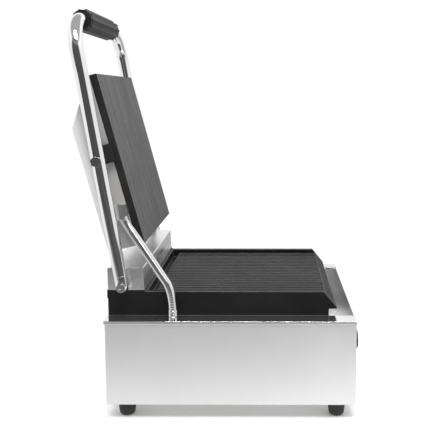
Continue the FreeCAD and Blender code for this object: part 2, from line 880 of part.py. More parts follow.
def make_torsion_springs():
    """Close-wound springs round the shaft that carry part of the head's weight."""
    length = SPRING_PITCH * SPRING_TURNS
    for side, start in (("left", -SPRING_OUTER_X), ("right", SPRING_OUTER_X - length)):
        coil = doc.addObject("Part::Helix", "Coil")
        coil.Pitch = SPRING_PITCH
        coil.Height = length
        coil.Radius = SPRING_RADIUS
        section = doc.addObject("Part::Circle", "Wire")
        section.Radius = WIRE_RADIUS
        section.Placement = Placement(Vector(SPRING_RADIUS, 0, 0), Rotation(Vector(1, 0, 0), 90))
        spring = doc.addObject("Part::Sweep", "Spring")
        spring.Sections = [section]
        spring.Spine = (coil, ["Edge1"])
        spring.Solid = True
        spring.Frenet = True
        middle = Vector(start, number(dim.arm_pivot_y), number(dim.arm_pivot_level))
        along = Placement(middle, Rotation(Vector(0, 1, 0), 90))
        sub_part(f"torsion_spring_{side}", spring, BASE.multiply(along))


COLLAR_X = 22.0
COLLAR_LENGTH = 10.0


def make_stop_block():
    """A pad on the bracket's rear that the shaft's stop collar leans on when the head is up."""
    low = dim.ledge_level + BRACKET_FLOOR
    top = dim.arm_pivot_level + 4.0
    pad = block((COLLAR_X - 2.0, 154.5, low), (COLLAR_X + COLLAR_LENGTH + 2.0, BRACKET_Y[1], top))
    sub_part("stop_block", pad, BASE)


# ---------------------------------------------------------------- base: controls and wiring


DIAL_SHEET = 0.8
DIAL_RADIUS = 31.0
NUT_HEIGHT = 2.0
NECK_REACH = 3.0          # of the thermostat's threaded neck, in front of the panel
SPINDLE_RADIUS = 3.0
SPINDLE_PLAY = 0.35


def make_thermostat():
    """Thermostat behind the panel, held by a nut that also clamps the round dial plate."""
    level = dim.control_level
    collar_length, cup_length, cup_radius = 6.0, 28.0, 19.0
    cup = rod((0, -INNER_Y + collar_length, level), "Y", cup_length, cup_radius)
    collar = rod((0, -INNER_Y, level), "Y", collar_length, 8.0)
    neck_start = (0, -WALL_Y - NECK_REACH, level)
    neck = rod(neck_start, "Y", GAUGE + NECK_REACH, THERMOSTAT_NECK)
    bore = drill(neck_start, "Y", 22.0, SPINDLE_RADIUS + SPINDLE_PLAY)
    sub_part("thermostat_body", cut(fuse(cup, collar, neck), bore), BASE)
    nut_start = (0, -WALL_Y - DIAL_SHEET - NUT_HEIGHT, level)
    nut = hexagon(nut_start, "Y", NUT_HEIGHT, 7.5)
    nut_bore = drill(nut_start, "Y", NUT_HEIGHT, THERMOSTAT_NECK)
    sub_part("thermostat_nut", cut(nut, nut_bore), BASE)
    plate_start = (0, -WALL_Y - DIAL_SHEET, level)
    plate = rod(plate_start, "Y", DIAL_SHEET, DIAL_RADIUS)
    plate_bore = drill(plate_start, "Y", DIAL_SHEET, THERMOSTAT_NECK)
    sub_part("dial_plate", cut(plate, plate_bore), BASE)


KNOB_GAP = 0.3            # between the dial plate and the knob's skirt
KNOB_TAPER = 2.5
KNOB_RECESS = (8.5, 4.0)  # radius and depth of the space for the nut
KNOB_SKIRT = 3.5
FLUTES = 16
FLUTE_RADIUS = 2.6
FLUTE_INSET = 0.9         # how deep a flute cuts into the knob's side
POINTER_DEPTH = 0.8


def make_knob():
    """Round knob with a skirt and finger flutes, pressed on the thermostat's spindle."""
    body = new_body("thermostat_knob")
    skirt, top = dim.knob_radius, dim.knob_radius - KNOB_TAPER
    recess_radius, recess_depth = KNOB_RECESS
    profile = [
        (0, recess_depth),
        (recess_radius, recess_depth),
        (recess_radius, 0),
        (skirt, 0),
        (skirt, KNOB_SKIRT),
        (top + 0.8, KNOB_SKIRT + 1.5),
        (top, dim.knob_height - 1.5),
        (top - 1.5, dim.knob_height),
        (0, dim.knob_height),
    ]
    revolve(body, "XZ_Plane", profile, "V_Axis")
    flute = solid_of_circles(
        body, "XY_Plane", KNOB_SKIRT + 2.5, dim.knob_height + CUT_PAST,
        [(top + FLUTE_RADIUS - FLUTE_INSET, 0)], FLUTE_RADIUS, True,
    )
    repeat_in_circle(body, [flute], "Z_Axis", FLUTES)
    pointer_half_width, pointer_start, pointer_end = 0.9, 2.0, 13.0
    solid_of_rectangle(
        body, "XY_Plane", dim.knob_height - POINTER_DEPTH, dim.knob_height + CUT_PAST,
        -pointer_half_width, pointer_start, pointer_half_width, pointer_end, True,
    )
    bore_depth = 13.0
    solid_of_circles(
        body, "XY_Plane", recess_depth - CUT_PAST, bore_depth, [(0, 0)], SPINDLE_RADIUS, True
    )
    seat = Vector(0, number(-WALL_Y) - DIAL_SHEET - KNOB_GAP, number(dim.control_level))
    turned = Placement(seat, Rotation(Vector(1, 0, 0), 90))
    sub_part("thermostat_knob", body, BASE.multiply(turned))
    spindle_front = -WALL_Y - DIAL_SHEET - KNOB_GAP - bore_depth
    spindle = rod((0, spindle_front, dim.control_level), "Y", 30.0, SPINDLE_RADIUS)
    sub_part("thermostat_spindle", spindle, BASE)


ROCKER_PIVOT_Y = 2.5
ROCKER_THROW = 8.0
BEZEL_DEPTH = 1.6
BEZEL_RIM = 2.0
SWITCH_PLAY = 0.1


def make_switch():
    """Snap-in switch: a bezel on the panel, a case behind it and a bent rocker on a pivot."""
    body = new_body("switch_housing")
    level = dim.control_level
    front = -WALL_Y
    case_half_x, case_half_z = SWITCH_HALF_X - SWITCH_PLAY, SWITCH_HALF_Z - SWITCH_PLAY
    well_half_x, well_half_z = 8.4, 12.8
    steps = (
        (front - BEZEL_DEPTH, front, SWITCH_HALF_X + BEZEL_RIM, SWITCH_HALF_Z + BEZEL_RIM, False),
        (front, front + 24.0, case_half_x, case_half_z, False),
        (front - BEZEL_DEPTH - CUT_PAST, front + 11.0, well_half_x, well_half_z, True),
    )
    for low, high, half_x, half_z, removes in steps:
        solid_of_rectangle(
            body, "XZ_Plane", low, high,
            SWITCH_X - half_x, level - half_z, SWITCH_X + half_x, level + half_z, removes,
        )
    sub_part("switch_housing", body, BASE)
    rocker = new_body("power_rocker")
    profile = [
        (-5.4, 0),
        (-7.2, 11.2),
        (-1.0, 10.4),
        (5.0, 3.0),
        (5.0, -3.0),
        (-1.0, -10.4),
        (-7.2, -11.2),
    ]
    half_width = well_half_x - 0.3
    solid_of_polygon(rocker, "YZ_Plane", -half_width, half_width, profile)
    pivot = Vector(number(SWITCH_X), number(front) + ROCKER_PIVOT_Y, number(level))
    leaning = Placement(pivot, Rotation(Vector(1, 0, 0), -ROCKER_THROW))
    sub_part("power_rocker", rocker, BASE.multiply(leaning))


def make_pilot_lamp():
    """Domed lens pushed through the panel into a lamp holder with a nut behind the sheet."""
    level = dim.control_level
    dome_radius, dome_rise, neck_length = 9.0, 3.5, 2.0
    dome = common(
        ball((LAMP_X, -WALL_Y + dome_radius - dome_rise, level), dome_radius),
        rod((LAMP_X, -WALL_Y - 4.0, level), "Y", 4.0, 7.0),
    )
    lens = fuse(dome, rod((LAMP_X, -WALL_Y, level), "Y", neck_length, LAMP_NECK))
    sub_part("pilot_lamp_lens", lens, BASE)
    holder = fuse(
        rod((LAMP_X, -WALL_Y + neck_length, level), "Y", 22.0, LAMP_NECK - 0.3),
        hexagon((LAMP_X, -INNER_Y + GAUGE, level), "Y", 4.0, 9.0),
    )
    sub_part("pilot_lamp_holder", holder, BASE)


def make_cord_gland():
    """Rear gland for a mains lead, with its lock nut inside the wall."""
    x, level = dim.gland_x, dim.gland_level
    flange_length, cap_length, thread_length = 3.0, 8.0, 14.0
    flange = rod((x, WALL_Y, level), "Y", flange_length, 11.0)
    cap = hexagon((x, WALL_Y + flange_length, level), "Y", cap_length, 10.0)
    thread_start = (x, WALL_Y - thread_length, level)
    thread = rod(thread_start, "Y", thread_length, GLAND_THREAD)
    whole = thread_length + flange_length + cap_length
    bore = drill(thread_start, "Y", whole, dim.gland_bore_radius)
    sub_part("cord_gland", cut(fuse(flange, cap, thread), bore), BASE)
    nut_length = 5.0
    nut_start = (x, INNER_Y - nut_length, level)
    nut = hexagon(nut_start, "Y", nut_length, 12.0)
    nut_bore = drill(nut_start, "Y", nut_length, GLAND_THREAD)
    sub_part("gland_lock_nut", cut(nut, nut_bore), BASE)


def make_terminal_block():
    """Ceramic rail with five wire ways, on the bottom plate near the gland."""
    low = dim.foot_height + GAUGE
    left, front, length, depth, height = -40.0, 100.0, 60.0, 22.0, 14.0
    rail = block((left, front, low), (left + length, front + depth, low + height))
    ways, first, pitch = 5, 8.0, 11.0
    holes = [drill((left + first + way * pitch, front, low + 6.0), "Y", depth, 2.4)
             for way in range(ways)]
    sub_part("terminal_block", cut(rail, *holes), BASE)


# ---------------------------------------------------------------- base: drip tray

TRAY_X = dim.tray_width / 2
TRAY_WALL = 1.0
TRAY_TOP = UNDER_DECK - 1.0
TRAY_FRONT_TOP = dim.deck_level - 0.2


def make_drip_tray():
    """Open trough under the lip; its front wall closes the front panel's mouth."""
    body = new_body("drip_tray")
    front, rear = -WALL_Y, dim.tray_rear
    solid_of_rectangle(
        body, "XY_Plane", dim.tray_floor, TRAY_TOP, -TRAY_X, front, TRAY_X, rear
    )
    solid_of_rectangle(
        body, "XZ_Plane", front, front + GAUGE,
        -TRAY_X, TRAY_TOP - TRAY_WALL, TRAY_X, TRAY_FRONT_TOP,
    )
    solid_of_rectangle(
        body, "XY_Plane", dim.tray_floor + TRAY_WALL, dim.deck_level + CUT_PAST,
        -TRAY_X + TRAY_WALL, front + GAUGE, TRAY_X - TRAY_WALL, rear - TRAY_WALL, True,
    )
    sub_part("drip_tray", body, BASE)


RUNNER_WALL = 1.5
RUNNER_HEIGHT = 20.0
RUNNER_UNDER_TRAY = 6.0   # how far a ledge reaches under the tray's floor
RUNNER_BEHIND_TRAY = 10.0
SLIDING_GAP = 0.3


def make_tray_runners():
    """Angle runners on the side walls; the tray's floor slides on their ledges."""
    ledge_top = dim.tray_floor - SLIDING_GAP
    runner_top = ledge_top + RUNNER_HEIGHT
    for side, sign in (("left", -1), ("right", 1)):
        body = new_body(f"tray_runner_{side}")
        outer = INNER_X * sign
        upright = outer - RUNNER_WALL * sign
        ledge_end = (TRAY_X - RUNNER_UNDER_TRAY) * sign
        angle = [
            (outer, ledge_top - RUNNER_WALL),
            (ledge_end, ledge_top - RUNNER_WALL),
            (ledge_end, ledge_top),
            (upright, ledge_top),
            (upright, runner_top),
            (outer, runner_top),
        ]
        solid_of_polygon(body, "XZ_Plane", -INNER_Y, dim.tray_rear + RUNNER_BEHIND_TRAY, angle)
        sub_part(f"tray_runner_{side}", body, BASE)


# ---------------------------------------------------------------- arm

BEND_START = dim.arm_length - dim.arm_bend_radius
BEND_X = dim.leg_x - dim.arm_bend_radius
EYE_TOP = Size.of(14.0)
SPIGOT_LENGTH = 20.0


def arm_tube_path(sketch):
    """Half of the U: up one leg, round the bend, to the middle of the cross part."""
    leg, bend = number(dim.leg_x), number(dim.arm_bend_radius)
    start, top = number(BEND_START), number(dim.arm_length)
    foot = Vector(leg, number(EYE_TOP), 0)
    sketch.addGeometry(Part.LineSegment(foot, Vector(leg, start, 0)), False)
    centre = Vector(leg - bend, start, 0)
    corner = Part.Circle(centre, Vector(0, 0, 1), bend)
    sketch.addGeometry(Part.ArcOfCircle(corner, 0, math.pi / 2), False)
    sketch.addGeometry(Part.LineSegment(Vector(leg - bend, top, 0), Vector(0, top, 0)), False)
    pin_point(sketch, 0, 1, dim.leg_x, EYE_TOP)
    pin_point(sketch, 0, 2, dim.leg_x, BEND_START)
    sketch.addConstraint(Sketcher.Constraint("Coincident", 0, 2, 1, 1))
    sketch.addConstraint(Sketcher.Constraint("Coincident", 1, 2, 2, 1))
    pin_point(sketch, 1, 3, BEND_X, BEND_START)
    pin_point(sketch, 2, 1, BEND_X, None)
    pin_point(sketch, 2, 2, 0, dim.arm_length)


def add_pipe(body, profile, path, removes):
    """Carry a drawn circle along the whole path."""
    kind = "PartDesign::SubtractivePipe" if removes else "PartDesign::AdditivePipe"
    pipe = body.newObject(kind, "Pipe")
    pipe.Profile = profile
    pipe.Spine = (path, ["Edge1", "Edge2", "Edge3"])
    body.Tip = pipe
    return pipe


def make_arm_tube():
    """Bent tube handle frame: two legs, two bends and the cross part under the grip."""
    body = new_body("arm_tube")
    path = new_sketch(body, "XZ_Plane")
    arm_tube_path(path)
    outer = new_sketch(body, "XY_Plane", EYE_TOP)
    circle(outer, dim.leg_x, 0, dim.tube_radius)
    wall = add_pipe(body, outer, path, False)
    inner = new_sketch(body, "XY_Plane", EYE_TOP)
    circle(inner, dim.leg_x, 0, dim.tube_radius - dim.tube_wall)
    hollow = add_pipe(body, inner, path, True)
    mirror = body.newObject("PartDesign::Mirrored", "OtherHalf")
    mirror.Originals = [wall, hollow]
    mirror.MirrorPlane = (origin_feature(body, "YZ_Plane"), [""])
    body.Tip = mirror
    leg_reach = dim.leg_x + dim.tube_radius
    pierce(
        body, "YZ_Plane", -leg_reach, leg_reach, [(0, dim.head_pivot_reach)],
        dim.bolt_radius + dim.bush_clearance,
    )
    sub_part("arm_tube", body, ARM)


SHAFT_HALF = 136.0
PIVOT_BOLT_RADIUS = 3.0
BOLT_SHANK = 23.0
BOLT_HOLE_DEPTH = 20.0
FLAT_DEPTH = 0.8          # of the spot face under the pivot bolt's head
FLAT_RADIUS = 7.0


def outward(sign, start, length):
    """The lower X of a piece that runs outward from a start on one side of the middle."""
    return start if sign > 0 else -(start + length)


def make_arm_eyes():
    """Rounded leg ends that carry the hinge shaft, with a spigot inside the tube."""
    bore_start = dim.leg_x - dim.tube_radius - CUT_PAST
    bore_length = SHAFT_HALF - bore_start
    flat = dim.leg_x + dim.tube_radius - FLAT_DEPTH
    through = dim.tube_radius + CUT_PAST
    for side, sign in (("left", -1), ("right", 1)):
        x = dim.leg_x * sign
        solid = fuse(
            ball((x, 0, 0), dim.tube_radius),
            rod((x, 0, 0), "Z", EYE_TOP, dim.tube_radius),
            rod((x, 0, EYE_TOP), "Z", SPIGOT_LENGTH, dim.tube_radius - dim.tube_wall),
        )
        bore_low = outward(sign, bore_start, bore_length)
        shaft_bore = rod((bore_low, 0, 0), "X", bore_length, dim.shaft_radius)
        bolt_bore = rod((x - through, 0, 0), "X", 2 * through, PIVOT_BOLT_RADIUS)
        spot_face = rod((outward(sign, flat, 2.0), 0, 0), "X", 2.0, FLAT_RADIUS)
        sub_part(f"arm_eye_{side}", cut(solid, shaft_bore, bolt_bore, spot_face), ARM)


def make_hinge_shaft():
    """Round shaft between the legs, with a tapped hole in each end."""
    bar = rod((-SHAFT_HALF, 0, 0), "X", 2 * SHAFT_HALF, dim.shaft_radius)
    start, length = SHAFT_HALF - BOLT_HOLE_DEPTH, BOLT_HOLE_DEPTH + CUT_PAST
    holes = [rod((outward(sign, start, length), 0, 0), "X", length, PIVOT_BOLT_RADIUS)
             for sign in (-1, 1)]
    sub_part("hinge_shaft", cut(bar, *holes), ARM)


def make_arm_pivot_bolts():
    """Socket-head bolts through the eyes into the shaft's ends."""
    bearing = dim.leg_x + dim.tube_radius - FLAT_DEPTH
    shank_start = bearing - BOLT_SHANK
    head_height, head_radius = 3.6, 5.8
    socket_depth, socket_radius = 2.0, 2.9
    socket_start = bearing + head_height - socket_depth
    socket_length = socket_depth + CUT_PAST
    bolts = []
    for sign in (-1, 1):
        shank_low = outward(sign, shank_start, BOLT_SHANK)
        head_low = outward(sign, bearing, head_height)
        socket_low = outward(sign, socket_start, socket_length)
        solid = fuse(
            rod((shank_low, 0, 0), "X", BOLT_SHANK, PIVOT_BOLT_RADIUS),
            rod((head_low, 0, 0), "X", head_height, head_radius),
        )
        bolts.append(cut(solid, hexagon((socket_low, 0, 0), "X", socket_length, socket_radius)))
    sub_part("arm_pivot_bolts", group(*bolts), ARM)


def make_stop_collar():
    """Collar pinned to the shaft; its finger meets the stop block when the head is up."""
    start = (COLLAR_X, 0, 0)
    end_x = COLLAR_X + COLLAR_LENGTH
    finger_reach, finger_half = 9.4, 3.0
    collar = rod(start, "X", COLLAR_LENGTH, 7.2)
    finger = block((COLLAR_X, 0, -finger_half), (end_x, finger_reach, finger_half))
    bore = drill(start, "X", COLLAR_LENGTH, dim.shaft_radius)
    sub_part("stop_collar", cut(fuse(collar, finger), bore), ARM)


GRIP_LOBES = 10
LOBE_RADIUS = 4.2
LOBE_DEPTH = 1.6
LOBE_END = 5.0            # plain stretch at each end of the grip
GRIP_END_RADIUS = 1.2
RING_LENGTH = 2.5


def make_handle_grip():
    """Lobed hollow grip round the cross part of the tube."""
    body = new_body("handle_grip")
    half = dim.grip_length / 2
    centre = [(0, dim.arm_length)]
    solid_of_circles(body, "YZ_Plane", -half, half, centre, dim.grip_radius)
    reach = dim.grip_radius + LOBE_RADIUS - LOBE_DEPTH
    fluted = half - LOBE_END
    for lobe in range(GRIP_LOBES):
        angle = 2 * math.pi * lobe / GRIP_LOBES
        spot = [(reach * math.sin(angle), dim.arm_length + reach * math.cos(angle))]
        solid_of_circles(body, "YZ_Plane", -fluted, fluted, spot, LOBE_RADIUS, True)
    pierce(body, "YZ_Plane", -half, half, centre, dim.tube_radius)
    ends = number(half) - 0.1
    outside = number(dim.grip_radius) - 0.1
    round_edges(body, GRIP_END_RADIUS, lambda edge: edge.Curve.TypeId == "Part::GeomCircle"
                and edge.Curve.Radius > outside and abs(edge.CenterOfMass.x) > ends)
    sub_part("handle_grip", body, ARM)


def make_grip_rings():
    """Rings on the tube that keep the grip from sliding."""
    rings = []
    for sign in (-1, 1):
        start = (outward(sign, dim.grip_length / 2, RING_LENGTH), 0, dim.arm_length)
        ring = rod(start, "X", RING_LENGTH, dim.grip_radius - 2.5)
        rings.append(cut(ring, drill(start, "X", RING_LENGTH, dim.tube_radius)))
    sub_part("grip_end_rings", group(*rings), ARM)


# ---------------------------------------------------------------- head

HEAD_X = dim.head_width / 2
PLATE_FACE = -dim.face_offset
PLATE_BACK = PLATE_FACE + dim.upper_plate_thickness
LUG_WIDTH = 8.0
LUG_X = HEAD_X + LUG_WIDTH
LUG_Y = (-16.5, 7.0)
LUG_Z = (-7.0, 18.0)
FACE_ROUNDING = 1.0


def make_upper_plate():
    """Casting with ribs towards -Y and a pivot lug on each side."""
    body = new_body("upper_plate")
    solid_of_rectangle(
        body, "XY_Plane", -dim.head_rear, dim.head_front,
        -HEAD_X, PLATE_FACE, HEAD_X, PLATE_BACK,
    )
    across = Vector(1, 0, 0)
    lengthwise = Vector(0, 0, 1)
    face = number(PLATE_FACE) + 0.1
    round_edges(body, FACE_ROUNDING, lambda edge: edge.CenterOfMass.y < face
                and (runs_along(edge, across) or runs_along(edge, lengthwise)))
    for low, high in ((-LUG_X, -HEAD_X), (HEAD_X, LUG_X)):
        solid_of_rectangle(body, "YZ_Plane", low, high, LUG_Y[0], LUG_Z[0], LUG_Y[1], LUG_Z[1])
    first_x = -dim.rib_pitch * ((UPPER_GROOVE_COUNT - 1) / 2)
    mouth = PLATE_FACE - GROOVE_MOUTH
    floor = PLATE_FACE + dim.groove_depth
    groove = extrude(
        body, "XY_Plane", -dim.head_rear - CUT_PAST, dim.head_front + CUT_PAST,
        lambda sketch: outline(sketch, [
            (first_x - GROOVE_TOP, mouth),
            (first_x + GROOVE_TOP, mouth),
            (first_x + GROOVE_FLOOR, floor),
            (first_x - GROOVE_FLOOR, floor),
        ]),
        True,
    )
    repeat_in_line(body, [groove], "X_Axis", dim.rib_pitch, UPPER_GROOVE_COUNT)
    pierce(body, "YZ_Plane", -LUG_X, LUG_X, [(0, 0)], dim.bolt_radius)
    sub_part("upper_plate", body, HEAD)


COVER_FOLD_RADIUS = 1.6
COVER_FRONT_STEP = 1.5
COVER_SCREWS = [(x, z) for x in (-88.0, 88.0) for z in (-100.0, 30.0)]
SCREW_RADIUS = 2.0
# the conduit's fitting on the cover's left side: where it stands, and its neck
FITTING_Y = -4.0
FITTING_Z = -73.0
FITTING_NECK = 6.9


def cover_outline(inset):
    """The cover's side profile, or the space inside it at an inset."""
    slope_top = dim.head_front - dim.cover_slope_length
    back = dim.cover_back - inset
    front_y = PLATE_BACK + COVER_FRONT_STEP - inset * 1.8
    return [
        (PLATE_BACK, -dim.head_rear + inset),
        (back, -dim.head_rear + inset),
        (back, slope_top - inset * 0.6),
        (front_y, dim.head_front - inset),
        (PLATE_BACK, dim.head_front - inset),
    ]


def make_head_cover():
    """Folded stainless cover over the upper plate: a sloping front and a square rear end."""
    body = new_body("head_cover")
    solid_of_polygon(body, "YZ_Plane", -HEAD_X, HEAD_X, cover_outline(0))
    back = number(dim.cover_back) - 0.1
    across = Vector(1, 0, 0)
    round_edges(body, COVER_FOLD_RADIUS,
                lambda edge: edge.CenterOfMass.y > back and runs_along(edge, across))
    # the space inside is open towards the plate
    hollow = cover_outline(number(GAUGE))
    hollow[0] = (PLATE_BACK - CUT_PAST, hollow[0][1])
    hollow[3:] = [(PLATE_BACK - CUT_PAST, dim.head_front - GAUGE * 1.6)]
    solid_of_polygon(body, "YZ_Plane", -HEAD_X + GAUGE, HEAD_X - GAUGE, hollow, True)
    fitting = [(FITTING_Y, FITTING_Z)]
    pierce(body, "YZ_Plane", -HEAD_X, -HEAD_X + GAUGE, fitting, FITTING_NECK + THREAD_PLAY)
    pierce(body, "XZ_Plane", dim.cover_back - GAUGE, dim.cover_back, COVER_SCREWS,
           SCREW_RADIUS + THREAD_PLAY)
    sub_part("head_cover", body, HEAD)


def make_upper_heating():
    """Serpentine bar on the plate's back, the sheet that presses it on, and a fibre blanket."""
    level = number(PLATE_BACK) + ELEMENT_RADIUS
    path = element_path(72.0, -100.0, 66.0, 0.0, ELEMENT_ROWS)
    bar = tube_along(path, ELEMENT_RADIUS)
    bar.Placement = Placement(Vector(0, level, 0), Rotation(Vector(1, 0, 0), 90))
    sub_part("upper_element", feature_of(bar.copy()), HEAD)
    clamp_low = level + ELEMENT_RADIUS
    clamp_top = clamp_low + CLAMP_SHEET
    clamp = block((-75.0, clamp_low, -95.0), (75.0, clamp_top, 45.0))
    sub_part("upper_element_clamp", clamp, HEAD)
    blanket_low = clamp_top + 0.5
    blanket = block((-100.0, blanket_low, -115.0), (100.0, blanket_low + 8.0, 60.0))
    sub_part("upper_insulation", blanket, HEAD)


def make_head_pivots():
    """Bolts through the legs into the plate's lugs, with spacers between lug and leg."""
    bolts, spacers = [], []
    gap = 0.3
    bearing = dim.leg_x + dim.tube_radius + gap
    shank_length = bearing - HEAD_X
    head_height, head_radius = 5.3, 7.2
    ring_length = dim.leg_x - dim.tube_radius - gap - LUG_X
    ring_radius = 7.0
    for sign in (-1, 1):
        shank_low = outward(sign, HEAD_X, shank_length)
        head_low = outward(sign, bearing, head_height)
        bolts.append(fuse(
            rod((shank_low, 0, 0), "X", shank_length, dim.bolt_radius),
            hexagon((head_low, 0, 0), "X", head_height, head_radius),
        ))
        ring_start = (outward(sign, LUG_X, ring_length), 0, 0)
        ring = rod(ring_start, "X", ring_length, ring_radius)
        spacers.append(cut(ring, drill(ring_start, "X", ring_length, dim.bolt_radius)))
    sub_part("head_pivot_bolts", group(*bolts), HEAD)
    sub_part("head_spacers", group(*spacers), HEAD)


# ---------------------------------------------------------------- conduit

FITTING_OUTER_X = 121.6
FERRULE_RADIUS = 5.8
FERRULE_REACH = 2.3       # from the fitting's side to the conduit's end
GLAND_HEIGHT = 3.0
RISE_CORNER = 36.5        # above the deck, where the conduit turns towards the head
UPPER_BEND = Vector(-115.9, 139.5, 260.0)
BEND_SHARES = (0.68, 0.8)


def fitting_centre():
    """The middle of the conduit's fitting on the head, in the base frame."""
    on_head = Vector((number(-HEAD_X) - FITTING_OUTER_X) / 2, FITTING_Y, FITTING_Z)
    return BASE.inverse().multVec(HEAD.multVec(on_head))


def conduit_end():
    """Where the conduit enters the fitting's ferrule, in the base frame."""
    centre = fitting_centre()
    towards = (UPPER_BEND - centre).normalize()
    return centre + towards * (number(dim.elbow_radius) + FERRULE_REACH)


def conduit_route():
    """Corners of the conduit in the base frame, from the deck gland to the fitting."""
    x, y = number(dim.conduit_x), number(dim.conduit_y)
    deck = number(dim.deck_level)
    foot = Vector(x, y, deck + GLAND_HEIGHT)
    return [foot, Vector(x, y, deck + RISE_CORNER), UPPER_BEND, conduit_end()]


def arc_wire(corners, shares):
    """Straight runs joined by tangent arcs, each using a share of the shorter run beside it."""
    edges, last = [], corners[0]
    for before, corner, after, share in zip(corners, corners[1:], corners[2:], shares):
        inward, outward_run = (before - corner), (after - corner)
        shorter = min(inward.Length, outward_run.Length)
        turn = math.pi - inward.getAngle(outward_run)
        reach = share * shorter
        start = corner + inward.normalize() * reach
        end = corner + outward_run.normalize() * reach
        radius = reach / math.tan(turn / 2)
        to_centre = (start - corner + end - corner).normalize()
        middle = corner + to_centre * (radius / math.cos(turn / 2) - radius)
        print(f"conduit bend radius {radius:.0f} mm")
        edges.append(Part.LineSegment(last, start).toShape())
        edges.append(Part.Arc(start, middle, end).toShape())
        last = end
    edges.append(Part.LineSegment(last, corners[-1]).toShape())
    return Part.Wire(edges)


def make_conduit():
    """Flexible metal conduit from the deck to the head, and its gland on the deck."""
    wire = arc_wire(conduit_route(), BEND_SHARES)
    print(f"conduit length {wire.Length:.0f} mm")
    solid = tube_along(wire, number(dim.conduit_radius))
    sub_part("wiring_conduit", feature_of(solid), BASE)
    x, y, deck = dim.conduit_x, dim.conduit_y, dim.deck_level
    collar_radius, nut_height, thread_below = 6.6, 4.0, 6.0
    gland = fuse(
        rod((x, y, deck), "Z", GLAND_HEIGHT, collar_radius),
        rod((x, y, UNDER_DECK - thread_below), "Z", GAUGE + thread_below, DECK_THREAD),
        hexagon((x, y, UNDER_DECK - nut_height), "Z", nut_height, collar_radius),
    )
    sub_part("deck_gland", gland, BASE)


def make_elbow():
    """Round fitting on the cover's left side; the conduit enters its ferrule from below."""
    drum_length = FITTING_OUTER_X - number(HEAD_X)
    start = (-FITTING_OUTER_X, FITTING_Y, FITTING_Z)
    neck_start = (-HEAD_X, FITTING_Y, FITTING_Z)
    neck_length, nut_length = 8.0, 4.0
    drum = rod(start, "X", drum_length, dim.elbow_radius)
    neck = rod(neck_start, "X", neck_length, FITTING_NECK)
    centre = HEAD.inverse().multVec(BASE.multVec(fitting_centre()))
    end = HEAD.inverse().multVec(BASE.multVec(conduit_end()))
    run = end - centre
    ferrule = doc.addObject("Part::Cylinder", "Ferrule")
    ferrule.Radius = FERRULE_RADIUS
    ferrule.Height = run.Length - 0.3
    ferrule.Placement = Placement(centre, Rotation(Vector(0, 0, 1), run))
    sub_part("conduit_elbow", fuse(drum, neck, ferrule), HEAD)
    nut_start = (-HEAD_X + GAUGE, FITTING_Y, FITTING_Z)
    nut = hexagon(nut_start, "X", nut_length, 10.0)
    nut_bore = drill(nut_start, "X", nut_length, FITTING_NECK)
    sub_part("elbow_lock_nut", cut(nut, nut_bore), HEAD)


def make_cover_screws():
    """Domed screws through the cover's back."""
    shank_length, dome_radius, dome_rise = 8.0, 6.5, 2.1
    screws = []
    for x, z in COVER_SCREWS:
        shank = rod((x, dim.cover_back - shank_length, z), "Y", shank_length, SCREW_RADIUS)
        head = common(
            ball((x, dim.cover_back + dome_rise - dome_radius, z), dome_radius),
            rod((x, dim.cover_back, z), "Y", 3.0, 4.6),
        )
        screws.append(fuse(shank, head))
    sub_part("cover_screws", group(*screws), HEAD)


# ---------------------------------------------------------------- build, check and write


def build():
    make_housing_shell()
    make_top_deck()
    make_front_panel()
    make_bottom_plate()
    make_feet()
    make_foot_screws()
    make_lower_plate()
    make_lower_heating()
    make_hinge_box()
    make_hinge_bracket()
    make_hinge_bushes()
    make_torsion_springs()
    make_stop_block()
    make_thermostat()
    make_knob()
    make_switch()
    make_pilot_lamp()
    make_cord_gland()
    make_terminal_block()
    make_drip_tray()
    make_tray_runners()
    make_arm_tube()
    make_arm_eyes()
    make_hinge_shaft()
    make_arm_pivot_bolts()
    make_stop_collar()
    make_handle_grip()
    make_grip_rings()
    make_upper_plate()
    make_upper_heating()
    make_head_cover()
    make_head_pivots()
    make_conduit()
    make_elbow()
    make_cover_screws()


CLOSED_GAP = 0.5


def closing_turn():
    """Degrees that the arm turns until the head's ribs lie just off the lower plate's."""
    closed_level = number(dim.rib_level) + number(dim.face_offset) + CLOSED_GAP
    rise = closed_level - number(dim.arm_pivot_level)
    above_level = math.degrees(math.asin(rise / number(dim.head_pivot_reach)))
    return number(dim.arm_lean) + 90 - above_level


def check_and_write():
    """Stop at any failed object or bad shape; write one file for each sub-part."""
    doc.recompute()
    failed = [item for item in doc.Objects if {"Invalid", "Error"} & set(item.State)]
    if failed:
        named = [f"{item.Name} in {[user.Name for user in item.InList]}" for item in failed]
        raise RuntimeError(f"objects failed: {named}")
    os.makedirs("parts", exist_ok=True)
    for label, item in SUB_PARTS.items():
        shape = item.Shape
        if shape.isNull() or not shape.isValid() or not shape.Solids:
            raise RuntimeError(f"{label} has no valid solid")
        shape.exportStep(f"parts/{label}.step")
        box = shape.BoundBox
        print(f"{label:22s} solids {len(shape.Solids)}  volume {shape.Volume / 1000:9.2f} cm3  "
              f"x {box.XMin:7.1f} {box.XMax:7.1f}  y {box.YMin:7.1f} {box.YMax:7.1f}  "
              f"z {box.ZMin:6.1f} {box.ZMax:6.1f}")


build()
check_and_write()
arm_turn = closing_turn()
head_turn = number(dim.head_lean) + 90
print(f"arm closes at {arm_turn:.3f} deg, head tilt {head_turn - arm_turn:.3f} deg")
print(f"arm pivot {ARM.Base}, head pivot {HEAD.Base}")
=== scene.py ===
"""Contact grill (panini press): finishes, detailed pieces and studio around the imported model."""

import math

import bmesh
import bpy
from mathutils import Matrix, Vector


